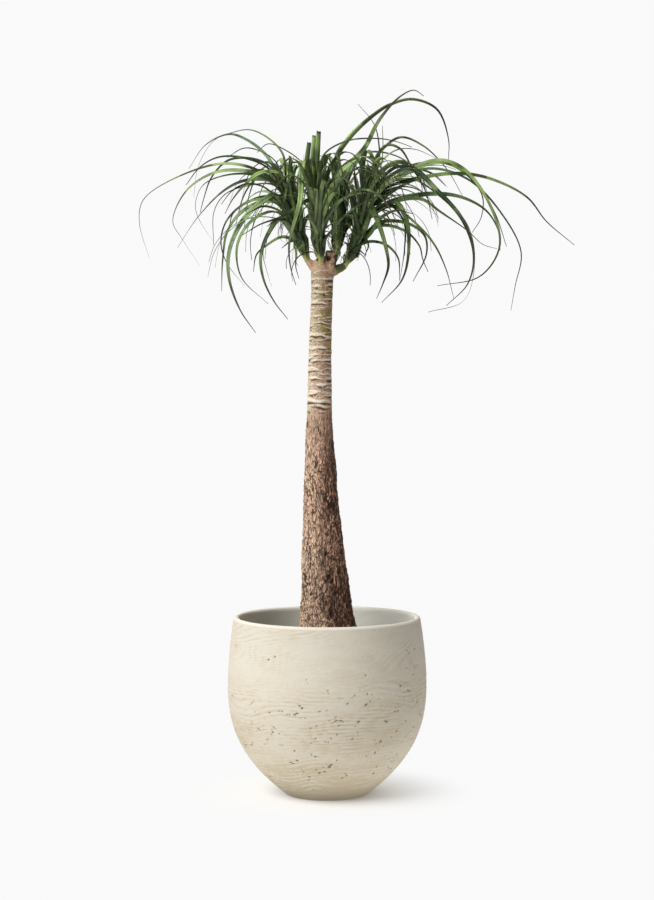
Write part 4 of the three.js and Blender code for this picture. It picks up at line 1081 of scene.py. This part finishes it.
CROWN_MIDDLE = (0.012, 1.104)
CROWN_HALF = (0.228, 0.088)
CROWN_CLEAR_OF = (-0.078, 0.062)
CROWN_FLOOR = 1.046
FILLER_SPREAD = 104
FILLER_TURN = 14
FILLER_ROOTS = (0.16, 0.8)
FILLER_LENGTHS = (0.210, 0.430)
FILLER_WIDTHS = (0.009, 0.013)
# The lift in degrees at the stem's foot, how much more at its top, and how much the draws vary it.
FILLER_LIFT = (34, 46, 12)
FILLER_DROOPS = (-86, -40)
FILLER_BENDS = 6
FILLER_BEND_POWER = 1.2
SIDE_SAMPLES = 56
FINE_LENGTHS = 160
CLEARANCE = 0.006
STEM_CLEARANCE = 0.004
KNOB_HEIGHTS = (0.900, 0.920, 0.940, 0.955, 0.968, 0.978, 0.986, 0.994)
KNOB_MARGIN = 0.002
# The knob of the solid trunk, which leaves keep clear of. It is a little wider than the finished one.
SOLID_KNOB = [
    (0.977, -0.008, 0.025),
    (0.985, -0.007, 0.025),
    (0.992, -0.006, 0.018),
    (0.996, -0.006, 0.007),
]
STEM_SAMPLES = 2
CROWN_SAMPLES = 10
SHEATH_SAMPLES = 14
DEPTH_STEP = 0.014
TRIES = 48
GOLDEN = 0.618034
SEED = 20417
SEED_FACTOR = 16807
SEED_MODULUS = 2147483647
TIP_WIDTH = 0.0022
TAPER_POWER = 0.68
BLUNT_TAPER = 0.35
ROLLS = (35, 75)
ROLLED_BACK = 0.3
TWIST = 50


class Draws:
    """A seeded row of numbers from 0 to 1: each is the one before times a factor, less its whole part."""

    def __init__(self, seed):
        self.state = seed

    def one(self):
        self.state = self.state * SEED_FACTOR % SEED_MODULUS
        return self.state / SEED_MODULUS

    def between(self, low, high):
        return low + (high - low) * self.one()


def smooth_line(points, count):
    """A curve through points, cut into equal lengths: centripetal Catmull-Rom, in which each stretch is a
    cubic whose end slopes weigh the neighbouring stretches by the square roots of their lengths."""
    points = np.array(points, float)
    last = len(points) - 1
    knots = np.concatenate([[2 * points[0] - points[1]], points, [2 * points[-1] - points[-2]]])
    place = np.linspace(0, last, FINE_LENGTHS + 1)
    i = np.minimum(place.astype(int), last - 1)
    t = (place - i)[:, None]
    before, start, end, after = knots[i], knots[i + 1], knots[i + 2], knots[i + 3]
    ways = [start - before, end - start, after - end]
    gaps = [np.sqrt(np.linalg.norm(way, axis=1))[:, None] for way in ways]
    slopes = [way / gap for way, gap in zip(ways, gaps)]
    leave = (slopes[0] - (end - before) / (gaps[0] + gaps[1]) + slopes[1]) * gaps[1]
    reach = (slopes[1] - (after - start) / (gaps[1] + gaps[2]) + slopes[2]) * gaps[1]
    chord = end - start
    fine = start + t * (leave + t * (3 * chord - 2 * leave - reach + t * (leave + reach - 2 * chord)))
    along = np.concatenate([[0], np.cumsum(np.linalg.norm(np.diff(fine, axis=0), axis=1))])
    wanted = np.linspace(0, along[-1], count)
    return np.stack([np.interp(wanted, along, fine[:, axis]) for axis in range(3)], -1)


def seen_at(x, z, y):
    """The point at a depth that the eye sees at x, z in the plane of the trunk."""
    scale = (EYE_DISTANCE + y) / EYE_DISTANCE
    return np.array([x * scale, y, EYE_HEIGHT + (z - EYE_HEIGHT) * scale])


def seen_from(points):
    """Where the eye sees points in the plane of the trunk, as x and z."""
    scale = EYE_DISTANCE / (EYE_DISTANCE + points[..., 1])
    return points[..., 0] * scale, EYE_HEIGHT + (points[..., 2] - EYE_HEIGHT) * scale


def on_stem(stem, share):
    """A stem's middle point and radius at a share of its length."""
    at = min(0.999, max(0, share)) * (len(stem) - 1)
    i = int(at)
    return stem[i] + (stem[i + 1] - stem[i]) * (at - i), np.interp(at, range(len(STEM_RADII)), STEM_RADII)


def root_of(stem, share, towards):
    """A leaf's first two points: one inside its stem, and one higher up just off the stem's skin."""
    root, radius = on_stem(stem, share)
    guide, guide_radius = on_stem(stem, share + HUG_SHARE)
    out = (towards - root) * (1, 1, 0)
    out /= np.linalg.norm(out)
    return [root + out * (radius - ROOT_SINK), guide + out * (guide_radius + HUG_OFF)]


def blade_width(width, share, blunt):
    """A leaf's width at a share of its length: a near straight taper to the tip, or a cut end."""
    if blunt:
        return width * (1 - BLUNT_TAPER * share)
    return TIP_WIDTH + (width - TIP_WIDTH) * (1 - share) ** TAPER_POWER


def leaf_through(points, width, blunt):
    """A leaf: its middle line, its width, whether its end is cut, and half its width at each sample."""
    share = np.linspace(0, 1, SIDE_SAMPLES)
    half = blade_width(width, share, blunt) / 2
    return {"line": smooth_line(points, SIDE_SAMPLES), "width": width, "blunt": blunt, "half": half}


def clear_of(leaf, others, clearance, start=0, other_start=0):
    """True if each sample of a leaf is further from each sample of the others than half of both widths and
    the clearance."""
    if not others:
        return True
    line = leaf["line"][start:]
    other = np.concatenate([o["line"][other_start:] for o in others])
    other_half = np.concatenate([o["half"][other_start:] for o in others])
    reach = leaf["half"][start:, None] + other_half + clearance
    apart = (line**2).sum(1)[:, None] + (other**2).sum(1) - 2 * line @ other.T
    return bool((apart >= reach**2).all())


stems = {name: smooth_line(head["path"], len(STEM_RADII)) for name, head in HEADS.items()}
leaves = {name: [] for name in HEADS}
heights, middles, radii = np.array([*TRUNK_STATIONS[: -len(SOLID_KNOB)], *SOLID_KNOB]).T
knob_middles = np.interp(KNOB_HEIGHTS, heights, middles)
knob_bar = {
    "line": np.stack([knob_middles, np.zeros(len(KNOB_HEIGHTS)), KNOB_HEIGHTS], -1),
    "half": np.interp(KNOB_HEIGHTS, heights, radii) + KNOB_MARGIN,
}


def stands_free(leaf, head):
    """True if a leaf is clear of the other stems, the top of the trunk and the other heads' leaves."""
    others = [name for name in HEADS if name != head]
    bars = [{"line": stems[name], "half": np.array(STEM_RADII)} for name in others]
    if not clear_of(leaf, [*bars, knob_bar], STEM_CLEARANCE, STEM_SAMPLES):
        return False
    return all(clear_of(leaf, leaves[name], CLEARANCE) for name in others)


def place_leaf(head, row):
    """A leaf seen through given points: its depth runs evenly from the stem's to its tip's, and is stepped
    to the front and the back until the leaf stands free."""
    depth, width, *seen = row
    stem = stems[head]
    share = np.clip((seen[0][1] - stem[0][2] - ROOT_BELOW) / ROOT_RANGE, *ROOT_SHARES)
    root = on_stem(stem, share)[0]
    blunt = len(seen) == 2 and seen[1][1] > SPEAR_HEIGHT
    flat = np.array([seen_from(root), *seen])
    runs = np.cumsum(np.linalg.norm(np.diff(flat, axis=0), axis=1))
    for step in range(TRIES):
        shift = DEPTH_STEP * math.ceil(step / 2) * (1 if step % 2 else -1)
        depths = root[1] + (depth + shift) * runs / runs[-1]
        through = [seen_at(x, z, y) for (x, z), y in zip(seen, depths)]
        leaf = leaf_through([*root_of(stem, share, through[0]), *through], width, blunt)
        if stands_free(leaf, head):
            return {**leaf, "share": share}


def inside_crown(leaf):
    """True if the eye sees a leaf past its root inside the crown's oval, and not in front of the trunk."""
    x, z = seen_from(leaf["line"][CROWN_SAMPLES:])
    oval = ((x - CROWN_MIDDLE[0]) / CROWN_HALF[0]) ** 2 + ((z - CROWN_MIDDLE[1]) / CROWN_HALF[1]) ** 2
    over_trunk = (x > CROWN_CLEAR_OF[0]) & (x < CROWN_CLEAR_OF[1])
    return bool(((oval < 1) & (~over_trunk | (z > CROWN_FLOOR))).all())


def arching(stem, share, turn, bends, length):
    """The points of a leaf that leaves its stem at a turn. After its root it takes equal steps, each at the
    next of the given bends up or down from the level."""
    out = np.array([math.cos(turn), math.sin(turn), 0])
    steps = out * np.cos(bends)[:, None] + np.array([0, 0, 1]) * np.sin(bends)[:, None]
    root, guide = root_of(stem, share, on_stem(stem, share)[0] + out)
    return [root, guide, *(guide + np.cumsum(steps, axis=0) * length / FILLER_BENDS)]


def filler_leaf(head, number, draws):
    """A leaf that arches out at a drawn turn: lifted at its root, then bending down more and more."""
    stem = stems[head]
    share = FILLER_ROOTS[0] + FILLER_ROOTS[1] * (number + 0.5) / HEADS[head]["fillers"]
    for step in range(TRIES):
        fan = (number + step) * GOLDEN % 1 * 2 - 1
        turn = HEADS[head]["azimuth"] + FILLER_SPREAD * fan + draws.between(-FILLER_TURN, FILLER_TURN)
        length = draws.between(*FILLER_LENGTHS)
        lowest, more, jitter = FILLER_LIFT
        lift = math.radians(lowest + more * share + draws.between(-jitter, jitter))
        droop = math.radians(draws.between(*FILLER_DROOPS))
        width = draws.between(*FILLER_WIDTHS)
        runs = ((np.arange(FILLER_BENDS) + 0.5) / FILLER_BENDS) ** FILLER_BEND_POWER
        points = arching(stem, share, math.radians(turn), lift + (droop - lift) * runs, length)
        leaf = leaf_through(points, width, False)
        if not inside_crown(leaf) or not stands_free(leaf, head):
            continue
        if step > TRIES / 2 or clear_of(leaf, leaves[head], 0, SHEATH_SAMPLES, SHEATH_SAMPLES):
            return {**leaf, "share": share}
    return None


def set_leaves(draws):
    """Sets out every leaf: the placed ones head by head, then the fillers in turns, then each leaf's roll
    about its middle line at the root and the twist from root to tip."""
    for head, rows in PLACED.items():
        for row in rows:
            leaves[head].append(place_leaf(head, row))
    for number in range(max(head["fillers"] for head in HEADS.values())):
        for name, head in HEADS.items():
            leaf = filler_leaf(name, number, draws) if number < head["fillers"] else None
            if leaf:
                leaves[name].append(leaf)
    for head in HEADS:
        for leaf in leaves[head]:
            out = (leaf["line"][-1] - leaf["line"][0])[:2]
            sideways = out[0] / np.linalg.norm(out)
            degree = 0 if leaf["blunt"] else math.pi / 180
            roll = draws.between(*ROLLS) * degree * sideways
            leaf["roll"] = roll * (-1 if draws.one() < ROLLED_BACK else 1)
            leaf["twist"] = draws.between(-TWIST, TWIST) * degree


set_leaves(Draws(SEED))


# The leafy stems and their leaves. Each leaf is one long channelled ribbon that clasps its stem with a pale
# sheath and thins out to a brown tip. The stem is a round green bar, wrapped in overlapping sheaths.
NECK_RADII = (0.0054, 0.0082, 0.0104, 0.0094, 0.0076, 0.0040)
BLADE_THICKNESS = 0.0008
EDGE_THICKNESS = 0.00025
THINNER_UNDER = 0.004
ACROSS_TOP = (-1.0, -0.5, 0.0, 0.5, 1.0)
ACROSS_UNDER = (0.55, 0.0, -0.55)
MIDDLE_FOLD = math.radians(29)
TIP_FOLD = math.radians(10)
FOLD_EASES_FROM = 0.2
SHEATH_SHARE = 0.38
SHEATH_RINGS = 9
SHEATH_LEAVES = 4
SHEATH_SUNK = 0.0015
SHEATH_PROUD = 0.0022
SHEATH_SPREAD = 0.35
SHEATH_POINT = 0.85
SHEATH_CURVE = 75.0
CURL_SHARE = 0.20
ROLL_FROM = 0.02
ROLL_TO = 0.28
THREAD_WIDTH = 0.0012
BLADE_TAPER = 1.5
BLADE_THINNING = 1.4
BLADE_FULLER = 1.15
SPEAR_TAPER = 0.55
CUT_RAGGED = 0.0045
CUT_BROWN = 0.45
SPEAR_AGE = 0.24
CUT_AGE = 0.25
SPEAR_TONES = (0.4, 0.3)
TONE_FIRST = 0.70
WAVER = math.radians(12)
LEAF_DEEP = (0.024, 0.056, 0.022, 1)
LEAF_GREEN = (0.135, 0.240, 0.056, 1)
LEAF_BRIGHT = (0.430, 0.600, 0.195, 1)
LEAF_BLUISH = (0.285, 0.470, 0.260, 1)
LEAF_SHADE = (0.024, 0.054, 0.015, 1)
LEAF_VEIN = (0.46, 0.58, 0.23, 1)
LEAF_ROOT_SHADE = (0.010, 0.020, 0.006, 1)
LEAF_TURNED_SHADE = (0.008, 0.020, 0.005, 1)
LEAF_TURNED_LIGHT = (0.48, 0.64, 0.27, 1)
LEAF_RIB = (0.24, 0.34, 0.12, 1)
LEAF_UNDER = (0.15, 0.20, 0.095, 1)
LEAF_SHEATH = (0.52, 0.56, 0.21, 1)
LEAF_DRY = (0.036, 0.036, 0.016, 1)
NECK_RINGS = 60
NECK_SIDES = 40
NECK_SCALES = 11
NECK_RELIEF = 0.0009
NECK_PALE_TO = 0.45
# The stems read as leaves near the root, so they take part of the root's painted shade.
NECK_ALONG = 0.2
NECK_TONES = (0.35, 0.3)
NECK_ACROSS = (0.2, 0.6)
SOCKET_DEPTH = 0.006
SOCKET_RADIUS = 0.002
CURLS = {"count": 9, "shares": (0.0, 0.5), "widths": (0.0020, 0.0040), "lengths": (0.03, 0.09),
         "lifts": (-10, 55), "droops": (-170, -80)}
THREADS = {"count": 7, "shares": (0.4, 0.9), "widths": (0.0022, 0.0034), "lengths": (0.15, 0.27),
           "lifts": (10, 60), "droops": (-100, -60)}


def leaf_material():
    """Leaves: from dark to bright green, drawn for each leaf, with fine veins, a paler middle and stretches
    of painted shade and painted light along them, as where a blade turns. Near the root they are pale at the
    sheath and in painted shade past it, more so in some. The tip is brown and the underside greyer. The skin
    has a soft shine, duller where it is brown."""
    material, tree = new_material("leaf")
    along, across = reading(tree, "along"), reading(tree, "across")
    tone, under = reading(tree, "tone"), reading(tree, "under")
    strip = {0: times(tree, across, 5.0), 1: times(tree, tone, 91.0), 2: along}
    veins = noise(tree, node(tree, "CombineXYZ", strip).outputs[0], 2.2, 4, 0.75)
    strip = {0: times(tree, along, 7.0), 1: times(tree, tone, 61.0)}
    turn_light_and_shade = noise(tree, node(tree, "CombineXYZ", strip).outputs[0], 1.0, 2, 0.5)
    blotches = noise(tree, node(tree, "TexCoord").outputs["Object"], 26.0, 3, 0.6)
    shade = plus(tree, times(tree, veins, 0.6), times(tree, blotches, 0.6))
    pale = plus(tree, reading(tree, "sheath"), times(tree, veins, 0.25))
    green = coats(
        tree,
        LEAF_DEEP,
        (tone, 0.10, 0.34, 1.0, LEAF_GREEN),
        (tone, 0.40, 0.64, 1.0, LEAF_BRIGHT),
        (tone, 0.76, 0.94, 1.0, LEAF_BLUISH),
        (shade, 0.70, 0.44, 0.74, LEAF_SHADE),
        (veins, 0.52, 0.72, 0.40, LEAF_VEIN),
    )
    # How much painted shade each leaf takes near its root.
    root_shade_share = eased(tree, maths(tree, "FRACT", times(tree, tone, 7.3)), 0.45, 0.75, 0.97, 0.52)
    green = coats(
        tree,
        # Painted shade near the root, past the sheath.
        mixed(tree, times(tree, eased(tree, along, 0.36, 0.10), root_shade_share), green, LEAF_ROOT_SHADE),
        # Painted shade and painted light in stretches along the blade, as where it turns.
        (turn_light_and_shade, 0.51, 0.40, 0.80, LEAF_TURNED_SHADE),
        (turn_light_and_shade, 0.53, 0.66, 0.48, LEAF_TURNED_LIGHT),
        (maths(tree, "ABSOLUTE", across), 0.16, 0.0, 0.30, LEAF_RIB),
    )
    green = mixed(tree, times(tree, under, 0.35), green, LEAF_UNDER)
    green = coats(tree, green, (pale, 0.42, 0.95, 1.0, LEAF_SHEATH))
    streaks = plus(tree, along, times(tree, minus(tree, veins, 0.5), 0.10))
    brown = eased(tree, streaks, 0.44, 0.82, 0.0, 0.92)
    colour = mixed(tree, brown, green, LEAF_DRY)
    dull = plus(tree, 0.40, times(tree, brown, 0.25))
    finish(tree, colour, roughness=dull, gloss=0.27, relief=veins, strength=0.35, depth=0.0004)
    return material


def dry_leaf(stem, kind, draw):
    """A thin dry leaf off a leafy stem at a drawn place and turn, bending from its lift to its droop."""
    share = draw.uniform(*kind["shares"])
    turn = draw.uniform(0, math.tau)
    lift = draw.uniform(*kind["lifts"])
    bends = np.radians(np.linspace(lift, draw.uniform(*kind["droops"]), FILLER_BENDS))
    points = arching(stem, share, turn, bends, draw.uniform(*kind["lengths"]))
    leaf = leaf_through(points, draw.uniform(*kind["widths"]), False)
    return {**leaf, "share": share, "roll": draw.uniform(-1, 1), "twist": draw.uniform(-1, 1)}


def neck_radius(share):
    """A leafy stem's finished radius at a share of its length."""
    return np.interp(share * (len(NECK_RADII) - 1), range(len(NECK_RADII)), NECK_RADII)


def sheathed(leaf, stem):
    """A leaf's middle line with its sheath before it. The sheath runs up the stem's skin, a little further
    out the higher it is, to where the leaf leaves it."""
    line = leaf["line"]
    out = (line[SHEATH_LEAVES] - np.array(on_stem(stem, leaf["share"] + HUG_SHARE)[0])) * (1, 1, 0)
    out /= np.linalg.norm(out)
    shares = np.linspace(max(0.0, leaf["share"] - SHEATH_SHARE), leaf["share"], SHEATH_RINGS)
    reach = neck_radius(shares) + np.linspace(-SHEATH_SUNK, SHEATH_PROUD, SHEATH_RINGS)
    points = [on_stem(stem, share)[0] + out * off for share, off in zip(shares, reach)]
    return np.concatenate([points, line[SHEATH_LEAVES:]])


def blade_frames(leaf, line, share):
    """At each point of a leaf's line, the ways across the blade and up from it. They start level, turned
    about the line by a roll that sets in past the root and by a slow waver."""
    tangent = np.gradient(line, axis=0)
    tangent /= np.linalg.norm(tangent, axis=1)[:, None]
    out = np.array([0, -1, 0]) if leaf["blunt"] else (line[-1] - line[0]) * (1, 1, 0)
    level = np.cross((0, 0, 1), out / np.linalg.norm(out))
    across = level - (tangent @ level)[:, None] * tangent
    across /= np.linalg.norm(across, axis=1)[:, None]
    normal = np.cross(tangent, across)
    roll = (leaf["roll"] + leaf["twist"] * share) * ease((share - ROLL_FROM) / (ROLL_TO - ROLL_FROM))
    roll = (roll + WAVER * np.sin(9 * share + 40 * leaf["tone"]) * share)[:, None]
    side = across * np.cos(roll) + normal * np.sin(roll)
    return side, np.cross(tangent, side)


def notch(place, leaf):
    """How far each place across a cut end lies back from it: a slant and two ragged waves."""
    ragged = 0.5 * np.sin(7 * place + 60 * leaf["tone"]) + 0.3 * np.sin(17 * place)
    return CUT_RAGGED * (1 + 0.6 * place + ragged)


def blade_rings(leaf, stem):
    """The rings of one blade. Its section is a fold that is deep at the root and shallow at the tip, and
    near the root it curls round the stem as an arc instead: x = sin(a) / k, up = (1 - cos(a)) / k."""
    line = sheathed(leaf, stem)
    share = np.concatenate([np.zeros(SHEATH_RINGS), np.linspace(0, 1, SIDE_SAMPLES)[SHEATH_LEAVES:]])
    sheath = np.concatenate([np.linspace(1, 0, SHEATH_RINGS), np.zeros(SIDE_SAMPLES - SHEATH_LEAVES)])
    side, up = blade_frames(leaf, line, share)
    share, sheath = share[:, None], sheath[:, None]
    full = BLADE_FULLER * leaf["width"] - THREAD_WIDTH
    half = (THREAD_WIDTH + full * (1 - share**BLADE_TAPER) ** BLADE_THINNING) / 2
    if leaf["blunt"]:
        half = leaf["width"] * (1 - SPEAR_TAPER * share) / 2
    root = 1 - ease(share / CURL_SHARE)
    half = half * (1 + SHEATH_SPREAD * root) * (1 - SHEATH_POINT * sheath**0.7)
    fold = MIDDLE_FOLD + (TIP_FOLD - MIDDLE_FOLD) * ease(share - FOLD_EASES_FROM)
    place = np.array(ACROSS_TOP + ACROSS_UNDER)[None, :]
    is_under = np.array([0.0] * len(ACROSS_TOP) + [1.0] * len(ACROSS_UNDER))[None, :]
    span = place * half
    arc = span * SHEATH_CURVE
    x = root * np.sin(arc) / SHEATH_CURVE + (1 - root) * span * np.cos(fold)
    lift = root * (1 - np.cos(arc)) / SHEATH_CURVE + (1 - root) * (np.abs(span) - half / 2) * np.sin(fold)
    thin = np.minimum(1, half / THINNER_UNDER)
    depth = is_under * (BLADE_THICKNESS * thin * (1 - 0.45 * np.abs(place)))
    depth = depth + (1 - is_under) * (np.abs(place) > 0.9) * EDGE_THICKNESS * thin
    points = line[:, None] + side[:, None] * x[..., None] + up[:, None] * (lift - depth)[..., None]
    ones = np.ones_like(x)
    age = share * ones
    if leaf["blunt"]:
        end = line[-1] - line[-2]
        points[-1] -= end / np.linalg.norm(end) * notch(place[0], leaf)[:, None]
        age = SPEAR_AGE + CUT_AGE * age + CUT_BROWN * ease((age - 0.95) / 0.04)
    return points, place * ones, is_under * ones, age, sheath * ones


def grow_leaves(name, head, material, draw):
    """All blades of one head as one mesh of many strands, with short dry curls and long dry threads."""
    dry = [dry_leaf(stems[head], kind, draw) for kind in (CURLS, THREADS) for _ in range(kind["count"])]
    grown = [*leaves[head], *dry]
    for number, leaf in enumerate(grown):
        tone = (TONE_FIRST + number * GOLDEN) % 1
        leaf["tone"] = SPEAR_TONES[0] + SPEAR_TONES[1] * tone if leaf["blunt"] else tone
    rings = [blade_rings(leaf, stems[head]) for leaf in grown]
    points, across, under, along, sheath = (np.stack(part)[:, :, ::-1] for part in zip(*rings))
    tone = np.array([leaf["tone"] for leaf in grown])[:, None, None] * np.ones_like(along)
    values = {"along": along, "across": across, "under": under, "tone": tone, "sheath": sheath}
    add_piece(name, strand_mesh(name, points), material, "leaf", [head], **values)


def grow_neck(name, head, material):
    """A leafy stem: a round bar on its head's line, from inside the socket in the knob. Its skin is a row
    of overlapping sheaths, each a saw tooth in height that runs slanting round the bar."""
    path = np.array(HEADS[head]["path"])
    down = (path[0] - path[1]) / np.linalg.norm(path[0] - path[1])
    share = np.linspace(0, 1, NECK_RINGS)
    line = smooth_line(path, NECK_RINGS)
    radii = neck_radius(share)
    line = np.concatenate([[path[0] + down * SOCKET_DEPTH], line])
    share = np.concatenate([[0], share])
    turn = np.arange(NECK_SIDES) / NECK_SIDES
    slant = 2 * turn[None, :] + 0.35 * np.sin(6 * math.pi * turn)[None, :]
    tooth = (NECK_SCALES * share[:, None] + slant) % 1
    rings = bar(line, np.concatenate([[SOCKET_RADIUS], radii]), NECK_SIDES)
    out = rings - line[:, None]
    rings = line[:, None] + out * (1 - NECK_RELIEF * tooth / np.linalg.norm(out, axis=2))[..., None]
    values = {
        "along": np.full(tooth.shape, NECK_ALONG),
        "sheath": np.broadcast_to(ease(1 - share / NECK_PALE_TO)[:, None], tooth.shape),
        "across": NECK_ACROSS[0] + NECK_ACROSS[1] * tooth,
        "under": np.zeros_like(tooth),
        "tone": NECK_TONES[0] + NECK_TONES[1] * tooth,
    }
    add_piece(name, strand_mesh(name, rings[None]), material, "leaf", [head], **values)


leaf_finish = leaf_material()
leaf_draw = np.random.default_rng(3)
for head in HEADS:
    place = head.split("_")[1]
    grow_neck("neck_" + place, head, leaf_finish)
    grow_leaves("leaves_" + place, head, leaf_finish, leaf_draw)
